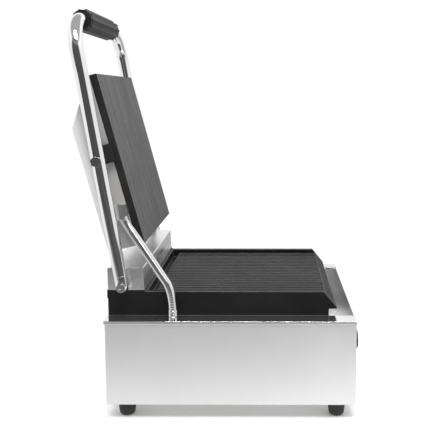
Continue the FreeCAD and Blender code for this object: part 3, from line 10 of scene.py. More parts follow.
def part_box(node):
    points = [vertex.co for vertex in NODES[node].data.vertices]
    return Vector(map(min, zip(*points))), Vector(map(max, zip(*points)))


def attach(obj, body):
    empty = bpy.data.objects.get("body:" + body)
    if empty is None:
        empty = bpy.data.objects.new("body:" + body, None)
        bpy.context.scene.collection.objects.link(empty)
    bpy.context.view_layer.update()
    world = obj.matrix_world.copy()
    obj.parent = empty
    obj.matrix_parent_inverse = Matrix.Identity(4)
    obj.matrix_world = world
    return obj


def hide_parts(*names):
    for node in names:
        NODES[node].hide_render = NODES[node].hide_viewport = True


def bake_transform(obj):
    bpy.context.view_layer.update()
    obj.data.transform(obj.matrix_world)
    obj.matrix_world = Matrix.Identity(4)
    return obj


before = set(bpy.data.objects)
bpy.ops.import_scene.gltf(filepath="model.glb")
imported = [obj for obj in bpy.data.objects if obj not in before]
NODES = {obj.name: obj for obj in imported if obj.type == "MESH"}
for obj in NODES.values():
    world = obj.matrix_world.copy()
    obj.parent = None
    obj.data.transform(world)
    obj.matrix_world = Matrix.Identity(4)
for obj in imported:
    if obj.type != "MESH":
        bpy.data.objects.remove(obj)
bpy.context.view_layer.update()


# ---------------------------------------------------------------- material helpers


class Finish:
    """A procedural material being put together around one Principled shader."""

    def __init__(self, name, colour, roughness, metallic=0.0, specular=0.5):
        self.material = bpy.data.materials.new(name)
        self.material.use_nodes = True
        self.tree = self.material.node_tree
        self.shader = self.tree.nodes["Principled BSDF"]
        self.set("Base Color", (*colour, 1.0))
        self.set("Roughness", roughness)
        self.set("Metallic", metallic)
        self.set("Specular IOR Level", specular)
        self.coords = self.node("ShaderNodeTexCoord").outputs["Object"]
        self.normal = None

    def set(self, socket, value):
        self.shader.inputs[socket].default_value = value

    def node(self, kind, **settings):
        made = self.tree.nodes.new(kind)
        for key, value in settings.items():
            setattr(made, key, value)
        return made

    def link(self, source, target):
        self.tree.links.new(source, target)

    def noise(self, scale, stretch=(1, 1, 1), detail=4.0, roughness=0.55, offset=(0, 0, 0)):
        """Noise in the object's own space: scale in cycles per metre, times the stretch per axis."""
        mapping = self.node("ShaderNodeMapping")
        mapping.inputs["Scale"].default_value = [scale * share for share in stretch]
        mapping.inputs["Location"].default_value = offset
        self.link(self.coords, mapping.inputs["Vector"])
        noise = self.node("ShaderNodeTexNoise")
        noise.inputs["Scale"].default_value = 1.0
        noise.inputs["Detail"].default_value = detail
        noise.inputs["Roughness"].default_value = roughness
        self.link(mapping.outputs[0], noise.inputs["Vector"])
        return noise.outputs["Fac"]

    def spread(self, value, low, high, source=(0.3, 0.7), smooth=False):
        """The value, mapped from the source range to low..high."""
        ranged = self.node("ShaderNodeMapRange")
        ranged.interpolation_type = "SMOOTHSTEP" if smooth else "LINEAR"
        ranged.inputs["From Min"].default_value = source[0]
        ranged.inputs["From Max"].default_value = source[1]
        ranged.inputs["To Min"].default_value = low
        ranged.inputs["To Max"].default_value = high
        self.link(value, ranged.inputs["Value"])
        return ranged.outputs["Result"]

    def maths(self, operation, first, second):
        made = self.node("ShaderNodeMath", operation=operation)
        for place, value in enumerate((first, second)):
            if isinstance(value, (int, float)):
                made.inputs[place].default_value = value
            else:
                self.link(value, made.inputs[place])
        return made.outputs[0]

    def blend(self, share, first, second):
        """Colour between two, each a tuple or a socket."""
        mix = self.node("ShaderNodeMix", data_type="RGBA")
        for socket, value in (("A", first), ("B", second)):
            target = [entry for entry in mix.inputs if entry.name == socket and entry.type == "RGBA"][0]
            if isinstance(value, tuple):
                target.default_value = (*value, 1.0)
            else:
                self.link(value, target)
        self.link(share, mix.inputs["Factor"])
        return [entry for entry in mix.outputs if entry.type == "RGBA"][0]

    def axis_of(self, vector, axis):
        split = self.node("ShaderNodeSeparateXYZ")
        self.link(vector, split.inputs[0])
        return split.outputs[axis]

    def soft_edges(self, radius):
        """Rounds the shading of sharp edges, and gives the mask of those edges."""
        bevel = self.node("ShaderNodeBevel", samples=12)
        bevel.inputs["Radius"].default_value = radius
        self.normal = bevel.outputs["Normal"]
        geometry = self.node("ShaderNodeNewGeometry")
        dot = self.node("ShaderNodeVectorMath", operation="DOT_PRODUCT")
        self.link(bevel.outputs["Normal"], dot.inputs[0])
        self.link(geometry.outputs["True Normal"], dot.inputs[1])
        return self.spread(dot.outputs["Value"], 1.0, 0.0, (0.80, 0.985))

    def bump(self, height, distance, strength=1.0):
        bump = self.node("ShaderNodeBump")
        bump.inputs["Distance"].default_value = distance
        bump.inputs["Strength"].default_value = strength
        self.link(height, bump.inputs["Height"])
        if self.normal is not None:
            self.link(self.normal, bump.inputs["Normal"])
        self.normal = bump.outputs["Normal"]

    def done(self, colour=None, roughness=None):
        if colour is not None:
            self.link(colour, self.shader.inputs["Base Color"])
        if roughness is not None:
            self.link(roughness, self.shader.inputs["Roughness"])
        if self.normal is not None:
            self.link(self.normal, self.shader.inputs["Normal"])
        return self.material


# ---------------------------------------------------------------- finishes


def paint_seam_shade(finish, tone, start, away, reach):
    """Painted shade darkening a sheet beside a hot plate: fully for half the reach, then fading out."""
    offset = finish.node("ShaderNodeVectorMath", operation="SUBTRACT")
    finish.link(finish.coords, offset.inputs[0])
    offset.inputs[1].default_value = start
    distance = finish.node("ShaderNodeVectorMath", operation="DOT_PRODUCT")
    finish.link(offset.outputs[0], distance.inputs[0])
    distance.inputs[1].default_value = away
    share = finish.spread(distance.outputs["Value"], 0.82, 0.0, (0.5 * reach, reach), smooth=True)
    # painted shade: the sheet is darkened towards this grey beside the plate
    return finish.blend(share, tone, (0.30, 0.29, 0.28))


def brushed_steel(
    name, grain, around, seed, light=0.82, roughness=(0.34, 0.44), stretch=0.6, metal=0.9,
    fold=0.0004, painted_shade=None,
):
    """Stainless sheet with fine brush lines that vary quickly along the axes with a high grain.
    They run round the given axis, and reflections stretch across them. Edges are folded at the
    given radius, and painted shade beside a seam is set by its start, direction and reach."""
    finish = Finish(name, (light, light, light), 0.3, metallic=metal)
    finish.set("Anisotropic", stretch)
    finish.set("Anisotropic Rotation", 0.25)
    tangent = finish.node("ShaderNodeTangent", direction_type="RADIAL", axis=around)
    finish.link(tangent.outputs[0], finish.shader.inputs["Tangent"])
    edge = finish.soft_edges(fold)
    lines = finish.noise(1.0, grain, detail=3.0, roughness=0.7, offset=(seed, seed, seed))
    cloud = finish.noise(6.0, detail=3.0, offset=(seed, 0, seed))
    smear = finish.noise(31.0, (1, 0.6, 1), detail=6.0, roughness=0.65, offset=(0, seed, 0))
    finish.bump(lines, 0.00001, 0.3)
    tone = finish.blend(
        finish.spread(lines, 0.0, 1.0),
        (light * 0.975, light * 0.975, light * 0.978),
        (light, light, light * 0.997),
    )
    tone = finish.blend(
        finish.spread(cloud, 0.0, 0.5, (0.35, 0.75)), tone, (light * 0.84, light * 0.845, light * 0.85)
    )
    tone = finish.blend(finish.maths("MULTIPLY", edge, 0.35), tone, (0.90, 0.90, 0.90))
    # painted shade beside the seam with a hot plate
    if painted_shade is not None:
        tone = paint_seam_shade(finish, tone, *painted_shade)
    rough = finish.spread(lines, *roughness)
    rough = finish.maths("ADD", rough, finish.spread(smear, 0.0, 0.07, (0.5, 0.8)))
    return finish.done(tone, rough)


def bright_steel(name, light=0.86, roughness=(0.045, 0.09)):
    """Polished tube and fasteners, with faint draw lines and handling haze."""
    finish = Finish(name, (light, light, light), 0.06, metallic=1.0)
    finish.soft_edges(0.0004)
    haze = finish.noise(34.0, detail=5.0, roughness=0.6)
    scratches = finish.noise(1.0, (2600, 2600, 60), detail=2.0)
    finish.bump(scratches, 0.000004, 0.35)
    tone = finish.blend(
        finish.spread(haze, 0.0, 1.0), (light * 0.96, light * 0.965, light * 0.97), (light, light, light)
    )
    rough = finish.spread(haze, roughness[0], roughness[1], (0.35, 0.7))
    return finish.done(tone, rough)


def cast_iron(name, dark=0.005, pale=0.010):
    """Seasoned cast iron: fine sand-cast grain, oil patches, and grey edges that are partly metal worn
    bare and partly painted highlight.
    """
    finish = Finish(name, (pale, pale, pale), 0.5, metallic=0.0, specular=0.22)
    edge = finish.soft_edges(0.0009)
    grain = finish.noise(1500.0, detail=3.0, roughness=0.6)
    pits = finish.noise(420.0, detail=4.0, roughness=0.7)
    patch = finish.noise(16.0, detail=5.0, roughness=0.6)
    height = finish.maths("ADD", grain, finish.maths("MULTIPLY", pits, 1.6))
    finish.bump(height, 0.00012, 0.7)
    tone = finish.blend(
        finish.spread(patch, 0.0, 1.0, (0.35, 0.68)), (dark, dark, dark), (pale, pale, pale)
    )
    tone = finish.blend(finish.spread(pits, 0.25, 0.0, (0.35, 0.55)), tone, (0.008, 0.008, 0.008))
    # grey edges: partly wear to bare metal, partly a painted highlight
    wear_and_highlight = finish.maths("MULTIPLY", edge, finish.spread(pits, 0.6, 1.0, (0.3, 0.6)))
    tone = finish.blend(wear_and_highlight, tone, (0.42, 0.42, 0.415))
    rough = finish.spread(patch, 0.46, 0.62, (0.3, 0.7))
    rough = finish.maths("ADD", rough, finish.spread(grain, -0.04, 0.05))
    return finish.done(tone, rough)


def iron_painted_sheen(name, half_width):
    """Cast iron whose ribbed face is painted dull grey as a sheen, with sooty black sides."""
    finish = Finish(name, (0.12, 0.12, 0.12), 0.7, metallic=0.0, specular=0.06)
    finish.soft_edges(0.0006)
    grain = finish.noise(1300.0, detail=3.0, roughness=0.6)
    streaks = finish.noise(1.0, (620, 9, 9), detail=4.0, roughness=0.65)
    patch = finish.noise(13.0, detail=5.0, roughness=0.6)
    finish.bump(grain, 0.0001, 0.5)
    # painted sheen: the face's grey stands in for the grazing reflection on the ribs
    tone = finish.blend(
        finish.spread(streaks, 0.0, 1.0, (0.35, 0.65)), (0.105, 0.105, 0.105), (0.165, 0.165, 0.163)
    )
    tone = finish.blend(
        finish.spread(patch, 0.0, 0.45, (0.4, 0.7)), tone, (0.10, 0.10, 0.099)
    )
    across = finish.maths("ABSOLUTE", finish.axis_of(finish.coords, "X"), 0.0)
    sooty = finish.spread(across, 0.0, 1.0, (half_width - 0.0016, half_width - 0.0006), smooth=True)
    soot = finish.blend(
        finish.spread(patch, 0.0, 1.0, (0.35, 0.65)), (0.012, 0.012, 0.012), (0.024, 0.024, 0.024)
    )
    tone = finish.blend(sooty, tone, soot)
    return finish.done(tone, finish.spread(grain, 0.62, 0.80))


def corrugated_steel(name):
    """Bright flexible conduit, with painted shade down in its grooves."""
    finish = Finish(name, (0.84, 0.84, 0.84), 0.12, metallic=1.0)
    haze = finish.noise(150.0, detail=5.0, roughness=0.65)
    finish.bump(haze, 0.00002, 0.4)
    geometry = finish.node("ShaderNodeNewGeometry")
    groove = finish.spread(geometry.outputs["Pointiness"], 1.0, 0.0, (0.44, 0.50))
    tone = finish.blend(
        finish.spread(haze, 0.0, 1.0), (0.76, 0.76, 0.77), (0.87, 0.87, 0.87)
    )
    # painted shade darkens the grooves
    tone = finish.blend(finish.maths("MULTIPLY", groove, 0.75), tone, (0.22, 0.22, 0.22))
    return finish.done(tone, finish.spread(haze, 0.09, 0.2))


def moulded_plastic(name, colour, roughness=0.42, grain=2400.0, grain_depth=0.00003):
    """Moulded plastic with a fine spark-eroded grain, rubbed a little paler at its edges."""
    finish = Finish(name, colour, roughness, specular=0.5)
    edge = finish.soft_edges(0.0005)
    texture = finish.noise(grain, detail=2.0, roughness=0.5)
    rub = finish.noise(60.0, detail=5.0, roughness=0.65)
    finish.bump(texture, grain_depth, 0.6)
    pale = tuple(min(1.0, part * 1.7 + 0.012) for part in colour)
    tone = finish.blend(finish.spread(rub, 0.0, 0.35, (0.4, 0.75)), colour, pale)
    tone = finish.blend(finish.maths("MULTIPLY", edge, 0.5), tone, pale)
    rough = finish.spread(rub, roughness - 0.07, roughness + 0.08)
    return finish.done(tone, rough)


def foot_rubber(name):
    """Matt black rubber with dust on its lower part."""
    finish = Finish(name, (0.022, 0.022, 0.022), 0.75, specular=0.35)
    finish.soft_edges(0.0008)
    speckle = finish.noise(900.0, detail=3.0)
    dust = finish.noise(120.0, detail=5.0, roughness=0.7)
    finish.bump(speckle, 0.00006, 0.6)
    low = finish.spread(finish.axis_of(finish.coords, "Z"), 0.75, 0.0, (0.0, 0.012), smooth=True)
    dusty = finish.maths("MULTIPLY", low, finish.spread(dust, 0.1, 1.0, (0.4, 0.7)))
    tone = finish.blend(
        finish.spread(speckle, 0.0, 1.0), (0.018, 0.018, 0.018), (0.034, 0.034, 0.034)
    )
    tone = finish.blend(dusty, tone, (0.075, 0.072, 0.068))
    return finish.done(tone, finish.spread(dust, 0.66, 0.88))


def plated_steel(name, colour=(0.62, 0.63, 0.64), tint=(0.56, 0.56, 0.50)):
    """Zinc-plated steel: slightly mottled, with a trace of yellow passivation."""
    finish = Finish(name, colour, 0.34, metallic=1.0)
    finish.soft_edges(0.0004)
    mottle = finish.noise(210.0, detail=5.0, roughness=0.7)
    film = finish.noise(24.0, detail=3.0)
    finish.bump(mottle, 0.00002, 0.5)
    tone = finish.blend(finish.spread(film, 0.0, 0.8), colour, tint)
    tone = finish.blend(finish.spread(mottle, 0.4, 0.0, (0.3, 0.5)), tone, (0.36, 0.36, 0.36))
    return finish.done(tone, finish.spread(mottle, 0.26, 0.44))


def heat_tinted_steel(name):
    """Sheathed heating element: oxidised grey-brown, with bluish bands from heat."""
    finish = Finish(name, (0.2, 0.18, 0.17), 0.5, metallic=0.85)
    scale = finish.noise(320.0, detail=5.0, roughness=0.7)
    bands = finish.noise(38.0, detail=2.0)
    finish.bump(scale, 0.00004, 0.6)
    tone = finish.blend(finish.spread(bands, 0.0, 1.0), (0.16, 0.12, 0.10), (0.17, 0.19, 0.24))
    tone = finish.blend(finish.spread(scale, 0.6, 0.0, (0.3, 0.55)), tone, (0.05, 0.045, 0.04))
    return finish.done(tone, finish.spread(scale, 0.38, 0.62))


def fibre_blanket(name):
    """Off-white ceramic fibre with a matted surface."""
    finish = Finish(name, (0.72, 0.70, 0.65), 0.95, specular=0.1)
    felt = finish.noise(520.0, (1, 1, 2.5), detail=6.0, roughness=0.75)
    lumps = finish.noise(70.0, detail=4.0)
    finish.bump(finish.maths("ADD", felt, lumps), 0.0005, 0.7)
    tone = finish.blend(finish.spread(felt, 0.0, 1.0), (0.60, 0.57, 0.51), (0.80, 0.79, 0.75))
    return finish.done(tone, finish.spread(lumps, 0.88, 1.0))


def sintered_bronze(name):
    finish = Finish(name, (0.50, 0.32, 0.17), 0.38, metallic=1.0)
    finish.soft_edges(0.0003)
    pores = finish.noise(1900.0, detail=3.0, roughness=0.7)
    stain = finish.noise(90.0, detail=4.0)
    finish.bump(pores, 0.00003, 0.6)
    tone = finish.blend(finish.spread(stain, 0.0, 1.0), (0.34, 0.21, 0.11), (0.56, 0.37, 0.20))
    return finish.done(tone, finish.spread(pores, 0.28, 0.5))


def glazed_ceramic(name):
    finish = Finish(name, (0.78, 0.76, 0.70), 0.22, specular=0.6)
    finish.soft_edges(0.0006)
    ripple = finish.noise(150.0, detail=2.0)
    specks = finish.noise(1300.0, detail=2.0)
    finish.bump(ripple, 0.00006, 0.4)
    tone = finish.blend(
        finish.spread(specks, 0.5, 0.0, (0.28, 0.36)), (0.78, 0.76, 0.70), (0.42, 0.38, 0.32)
    )
    return finish.done(tone, finish.spread(ripple, 0.16, 0.30))


def spun_metal(name, centre):
    """Aluminium disc with turning marks about its centre, in the plane of X and Z."""
    finish = Finish(name, (0.80, 0.80, 0.81), 0.3, metallic=1.0)
    finish.soft_edges(0.0004)
    mapping = finish.node("ShaderNodeMapping")
    mapping.inputs["Location"].default_value = -centre
    finish.link(finish.coords, mapping.inputs["Vector"])
    flat = finish.node("ShaderNodeVectorMath", operation="MULTIPLY")
    finish.link(mapping.outputs[0], flat.inputs[0])
    flat.inputs[1].default_value = (1, 0, 1)
    length = finish.node("ShaderNodeVectorMath", operation="LENGTH")
    finish.link(flat.outputs[0], length.inputs[0])
    rings = finish.node("ShaderNodeTexNoise")
    rings.noise_dimensions = "1D"
    rings.inputs["Scale"].default_value = 5200.0
    rings.inputs["Detail"].default_value = 2.0
    finish.link(length.outputs["Value"], rings.inputs["W"])
    haze = finish.noise(45.0, detail=4.0)
    finish.bump(rings.outputs["Fac"], 0.00002, 0.5)
    tone = finish.blend(
        finish.spread(rings.outputs["Fac"], 0.0, 1.0), (0.70, 0.70, 0.71), (0.84, 0.84, 0.85)
    )
    return finish.done(tone, finish.spread(haze, 0.22, 0.36))


def lamp_glass(name):
    """Amber moulded lens, lit from behind only by the room."""
    finish = Finish(name, (0.95, 0.30, 0.03), 0.12, specular=0.6)
    finish.set("Transmission Weight", 0.55)
    finish.set("IOR", 1.49)
    finish.set("Coat Weight", 0.4)
    swirl = finish.noise(260.0, detail=3.0)
    finish.bump(swirl, 0.00006, 0.5)
    tone = finish.blend(finish.spread(swirl, 0.0, 1.0), (0.85, 0.20, 0.015), (1.0, 0.38, 0.05))
    return finish.done(tone, finish.spread(swirl, 0.08, 0.2))


def printed_ink(name, colour):
    finish = Finish(name, colour, 0.5, specular=0.4)
    fleck = finish.noise(2100.0, detail=3.0)
    finish.bump(fleck, 0.00001, 0.4)
    worn = tuple(part * 0.75 + 0.1 for part in colour)
    tone = finish.blend(finish.spread(fleck, 0.0, 0.6), colour, worn)
    return finish.done(tone, finish.spread(fleck, 0.42, 0.62))


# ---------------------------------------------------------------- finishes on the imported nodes

LEVEL_GRAIN = (14, 14, 2600)
FORE_AFT_GRAIN = (2600, 14, 2600)
ACROSS_GRAIN = (14, 2600, 2600)
HEAD_LEAN = math.radians(14.7)
# how far the painted shade reaches from the cover's seam with the plate
SEAM_SHADE_REACH = 0.042
FACE_HALF_WIDTH = 0.109


def give(material, *names):
    """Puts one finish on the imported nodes."""
    for name in names:
        node = NODES[name]
        if not node.material_slots:
            node.data.materials.append(None)
        for slot in node.material_slots:
            slot.link = "OBJECT"
            slot.material = material


def centre_of(name):
    low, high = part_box(name)
    return (low + high) / 2


def cover_seam_shade():
    """Painted shade on the cover, from the seam between the upper plate and its cover, straight away from
    the plate.
    """
    low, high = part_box("head_cover")
    start = Vector((0.0, low.y, low.z + (high.y - low.y) * math.sin(HEAD_LEAN)))
    return start, Vector((0.0, math.cos(HEAD_LEAN), -math.sin(HEAD_LEAN))), SEAM_SHADE_REACH


def finish_nodes():
    give(brushed_steel("steel_wrap", LEVEL_GRAIN, "Z", 1.3), "housing_shell")
    give(brushed_steel("steel_front", LEVEL_GRAIN, "Z", 4.1), "front_panel")
    give(
        brushed_steel(
            "steel_deck", FORE_AFT_GRAIN, "X", 2.2, light=0.80, roughness=(0.03, 0.08), stretch=0.0,
            metal=0.965, fold=0.0010,
        ),
        "top_deck",
    )
    give(
        brushed_steel(
            "steel_tray", ACROSS_GRAIN, "Y", 3.7, light=0.86, roughness=(0.16, 0.24), stretch=0.0
        ),
        "drip_tray",
    )
    give(
        brushed_steel("steel_hinge_box", ACROSS_GRAIN, "Y", 5.9, roughness=(0.24, 0.34)), "hinge_box"
    )
    # painted light: the cover's steel is a paler, half-diffuse copy of the brushed steel, standing in for
    # the light on its side; it also carries the painted shade beside the plate
    give(
        brushed_steel(
            "steel_cover_painted_light", LEVEL_GRAIN, "Z", 7.4, light=0.99, roughness=(0.50, 0.60), stretch=0.8,
            metal=0.45, painted_shade=cover_seam_shade(),
        ),
        "head_cover",
    )
    give(bright_steel("polished_tube"), "arm_tube", "arm_eye_left", "arm_eye_right")
    give(
        bright_steel("polished_fasteners", light=0.78, roughness=(0.09, 0.17)),
        "arm_pivot_bolts", "head_pivot_bolts", "cover_screws", "deck_gland", "elbow_lock_nut",
        "hinge_shaft", "head_spacers",
    )
    give(bright_steel("satin_fitting", light=0.80, roughness=(0.30, 0.42)), "conduit_elbow")
    give(cast_iron("seasoned_iron_lower"), "lower_plate")
    # upper plate: painted sheen on its face
    give(iron_painted_sheen("iron_painted_sheen", FACE_HALF_WIDTH), "upper_plate")
    give(
        plated_steel("plated_steel"),
        "bottom_plate", "foot_screws", "lower_element_clamp", "upper_element_clamp",
        "lower_clamp_bolts", "hinge_bracket", "torsion_spring_left", "torsion_spring_right",
        "stop_block", "stop_collar", "thermostat_body", "thermostat_nut", "tray_runner_left",
        "tray_runner_right",
    )
    give(heat_tinted_steel("element_sheath"), "lower_element", "upper_element")
    give(fibre_blanket("fibre_blanket"), "lower_insulation", "upper_insulation")
    give(sintered_bronze("sintered_bronze"), "hinge_bush_left", "hinge_bush_right", "thermostat_spindle")
    give(glazed_ceramic("glazed_ceramic"), "terminal_block")
    give(spun_metal("spun_dial", centre_of("dial_plate")), "dial_plate")
    give(
        moulded_plastic("black_moulding", (0.014, 0.014, 0.015), 0.36),
        "thermostat_knob", "switch_housing", "cord_gland", "gland_lock_nut", "pilot_lamp_holder",
    )
    give(moulded_plastic("rocker_moulding", (0.02, 0.02, 0.02), 0.28), "power_rocker")
    give(moulded_plastic("end_ring_moulding", (0.008, 0.008, 0.008), 0.34), "grip_end_rings")
    give(
        foot_rubber("foot_rubber"),
        "foot_front_left", "foot_front_right", "foot_rear_left", "foot_rear_right",
    )
    give(lamp_glass("amber_lens"), "pilot_lamp_lens")


# ---------------------------------------------------------------- detailed pieces


def add_piece(name, mesh, material, body=None):
    """A new piece in the row frame, with its finish and body."""
    piece = bpy.data.objects.new(name, mesh)
    bpy.context.scene.collection.objects.link(piece)
    mesh.materials.clear()
    mesh.materials.append(material)
    if body:
        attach(piece, body)
    return piece


def band_rings(shape, rings):
    """Four-sided faces between each ring of vertices and the next."""
    for lower, upper in zip(rings, rings[1:]):
        for number in range(len(lower)):
            following = (number + 1) % len(lower)
            shape.faces.new((lower[number], lower[following], upper[following], upper[number]))


def smooth_mesh(shape, name):
    """The finished shape as a mesh, smooth but for its end caps, with its faces turned outwards."""
    for face in shape.faces:
        face.smooth = len(face.verts) <= 4
    bmesh.ops.recalc_face_normals(shape, faces=shape.faces)
    mesh = bpy.data.meshes.new(name)
    shape.to_mesh(mesh)
    shape.free()
    return mesh


def smooth_route(name, points):
    """Points along one smooth curve with the given control points."""
    curve = bpy.data.curves.new(name, "CURVE")
    curve.dimensions = "3D"
    curve.resolution_u = 48
    spline = curve.splines.new("NURBS")
    spline.points.add(len(points) - 1)
    for entry, point in zip(spline.points, points):
        entry.co = (*point, 1.0)
    spline.order_u = 3
    spline.use_endpoint_u = True
    holder = bpy.data.objects.new(name, curve)
    mesh = bpy.data.meshes.new_from_object(holder)
    route = [vertex.co.copy() for vertex in mesh.vertices]
    bpy.data.objects.remove(holder)
    bpy.data.meshes.remove(mesh)
    return route


def even_steps(route, step):
    """The route again, in steps of nearly the given length."""
    lengths = [0.0]
    for start, end in zip(route, route[1:]):
        lengths.append(lengths[-1] + (end - start).length)
    count = max(1, round(lengths[-1] / step))
    points, leg = [], 0
    for index in range(count + 1):
        wanted = lengths[-1] * index / count
        while leg < len(route) - 2 and lengths[leg + 1] < wanted:
            leg += 1
        share = (wanted - lengths[leg]) / (lengths[leg + 1] - lengths[leg])
        points.append(route[leg].lerp(route[leg + 1], share))
    return points


def ringed_tube(name, points, radius_at, sides, turn_start=0):
    """A closed tube along points. radius_at gives its radius from a step and a side's share of a turn."""
    shape = bmesh.new()
    last = len(points) - 1
    tangents = [
        (points[min(index + 1, last)] - points[max(index - 1, 0)]).normalized()
        for index in range(len(points))
    ]
    side = tangents[0].orthogonal().normalized()
    rings = []
    for index, (point, tangent) in enumerate(zip(points, tangents)):
        side = (side - tangent * side.dot(tangent)).normalized()
        other = tangent.cross(side)
        ring = []
        for number in range(sides):
            share = number / sides
            angle = 2 * math.pi * share
            reach = radius_at(index + turn_start, share)
            ring.append(shape.verts.new(
                point + side * (reach * math.cos(angle)) + other * (reach * math.sin(angle))
            ))
        rings.append(ring)
    band_rings(shape, rings)
    shape.faces.new(list(reversed(rings[0])))
    shape.faces.new(rings[-1])
    return smooth_mesh(shape, name)


CONDUIT_FOOT = Vector((-0.136, 0.0607, 0.140))
CONDUIT_RISE = Vector((-0.136, 0.0607, 0.1735))
CONDUIT_UPPER_BEND = Vector((-0.1159, 0.1235, 0.2600))
CONDUIT_END = Vector((-0.11568, 0.12711, 0.26666))
CONDUIT_RADIUS = 0.00575
CONDUIT_GROOVE = 0.0004
CONDUIT_STEP = 0.00028
STEPS_PER_RIDGE = 8
CONDUIT_SIDES = 32
CONDUIT_BEND_LENGTH = 0.016
CONDUIT_SPLIT = 0.84


def conduit_radius(step, share):
    """One groove winds round the conduit like a thread."""
    phase = (step / STEPS_PER_RIDGE + share) % 1.0
    crest = math.sin(math.pi * phase) ** 0.25
    return CONDUIT_RADIUS - CONDUIT_GROOVE * (1.0 - crest)


def make_conduit():
    """Threaded flexible conduit in two stretches: the lower one runs up from the base and the upper
    one on to the head. Both follow the arm where they meet."""
    along = (CONDUIT_UPPER_BEND - CONDUIT_RISE).normalized()
    after_rise = CONDUIT_RISE + along * (CONDUIT_RISE - CONDUIT_FOOT).length
    before_bend = CONDUIT_UPPER_BEND - along * CONDUIT_BEND_LENGTH
    corners = [CONDUIT_FOOT, CONDUIT_RISE, after_rise, before_bend, CONDUIT_UPPER_BEND, CONDUIT_END]
    points = even_steps(smooth_route("conduit_route", corners), CONDUIT_STEP)
    split = round(CONDUIT_SPLIT * (len(points) - 1))
    material = corrugated_steel("corrugated_conduit")
    lower_tube = ringed_tube("conduit_lower", points[:split + 1], conduit_radius, CONDUIT_SIDES)
    upper_tube = ringed_tube("conduit_upper", points[split:], conduit_radius, CONDUIT_SIDES, split)
    lower = add_piece("conduit_lower", lower_tube, material)
    upper = add_piece("conduit_upper", upper_tube, material)
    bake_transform(lower)
    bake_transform(upper)
    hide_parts("wiring_conduit")
    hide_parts("wiring_conduit")


def turned_mesh(name, centre, axis, profile, sides=48):
    """A closed solid turned about an axis through a centre. The profile is pairs of distance along
    the axis and radius, from one end to the other, and radius 0 closes an end."""
    shape = bmesh.new()
    axis = Vector(axis).normalized()
    side = axis.orthogonal().normalized()
    other = axis.cross(side)
    rings = []
    for distance, radius in profile:
        middle = centre + axis * distance
        if radius == 0:
            rings.append([shape.verts.new(middle)])
            continue
        rings.append([
            shape.verts.new(
                middle + side * (radius * math.cos(2 * math.pi * number / sides))
                + other * (radius * math.sin(2 * math.pi * number / sides))
            )
            for number in range(sides)
        ])
    for lower, upper in zip(rings, rings[1:]):
        for number in range(sides):
            following = (number + 1) % sides
            corners = [lower[number % len(lower)], lower[following % len(lower)],
                       upper[following % len(upper)], upper[number % len(upper)]]
            unique = list(dict.fromkeys(corners))
            if len(unique) > 2:
                shape.faces.new(unique)
    return smooth_mesh(shape, name)


FERRULE_INNER, FERRULE_OUTER = 0.0054, 0.0068
FERRULE_FOOT, FERRULE_BAND, FERRULE_TOP = 0.0002, 0.0030, 0.0098
FERRULE_GROOVES = (0.0038, 0.0062)
ROLLED_GROOVE = ((0.0, 0.0002), (0.0004, 0.0007), (0.0008, 0.0002), (0.0012, 0.0))


def make_conduit_ferrule():
    """Crimped sleeve round the conduit's foot, with two rolled grooves."""
    low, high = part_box("deck_gland")
    centre = Vector(((low.x + high.x) / 2, (low.y + high.y) / 2, high.z))
    profile = [
        (FERRULE_FOOT, FERRULE_INNER), (FERRULE_FOOT, FERRULE_OUTER), (FERRULE_BAND, FERRULE_OUTER)
    ]
    for groove in FERRULE_GROOVES:
        profile += [(groove + rise, FERRULE_OUTER - depth) for rise, depth in ROLLED_GROOVE]
    profile += [
        (FERRULE_TOP - 0.0006, FERRULE_OUTER), (FERRULE_TOP, FERRULE_OUTER - 0.0004),
        (FERRULE_TOP, FERRULE_INNER), (FERRULE_FOOT, FERRULE_INNER),
    ]
    mesh = turned_mesh("conduit_ferrule", centre, (0, 0, 1), profile)
    material = bright_steel("polished_ferrule", light=0.80, roughness=(0.07, 0.14))
    add_piece("conduit_ferrule", mesh, material, "base")


GRIP_FLUTES = 10
FLUTE_DEPTH = 0.0019
GRIP_END = 0.0028
GRIP_END_STEPS = 6
GRIP_BODY_STEPS = 24
GRIP_SIDES = GRIP_FLUTES * 16
GRIP_BORE_SHARE = 9.0 / 16.0


def grip_radius(radius, share):
    """Broad flutes with narrow rounded ridges between them, by share of a turn."""
    hollow = abs(math.cos(math.pi * GRIP_FLUTES * share)) ** 0.75
    return radius - FLUTE_DEPTH * (1.0 - (1.0 - hollow) ** 1.4)


def grip_stations(half):
    """Pairs of place along the grip and how far its surface is drawn in there, end to end."""
    rounded = []
    for step in range(GRIP_END_STEPS, -1, -1):
        turn = math.pi / 2 * step / GRIP_END_STEPS
        rounded.append((GRIP_END * (1 - math.sin(turn)) - half, GRIP_END * (1 - math.cos(turn))))
    flat = half - GRIP_END
    body = [
        (-flat + 2 * flat * step / GRIP_BODY_STEPS, 0.0) for step in range(1, GRIP_BODY_STEPS)
    ]
    return rounded + body + [(-x, drawn_in) for x, drawn_in in reversed(rounded)]


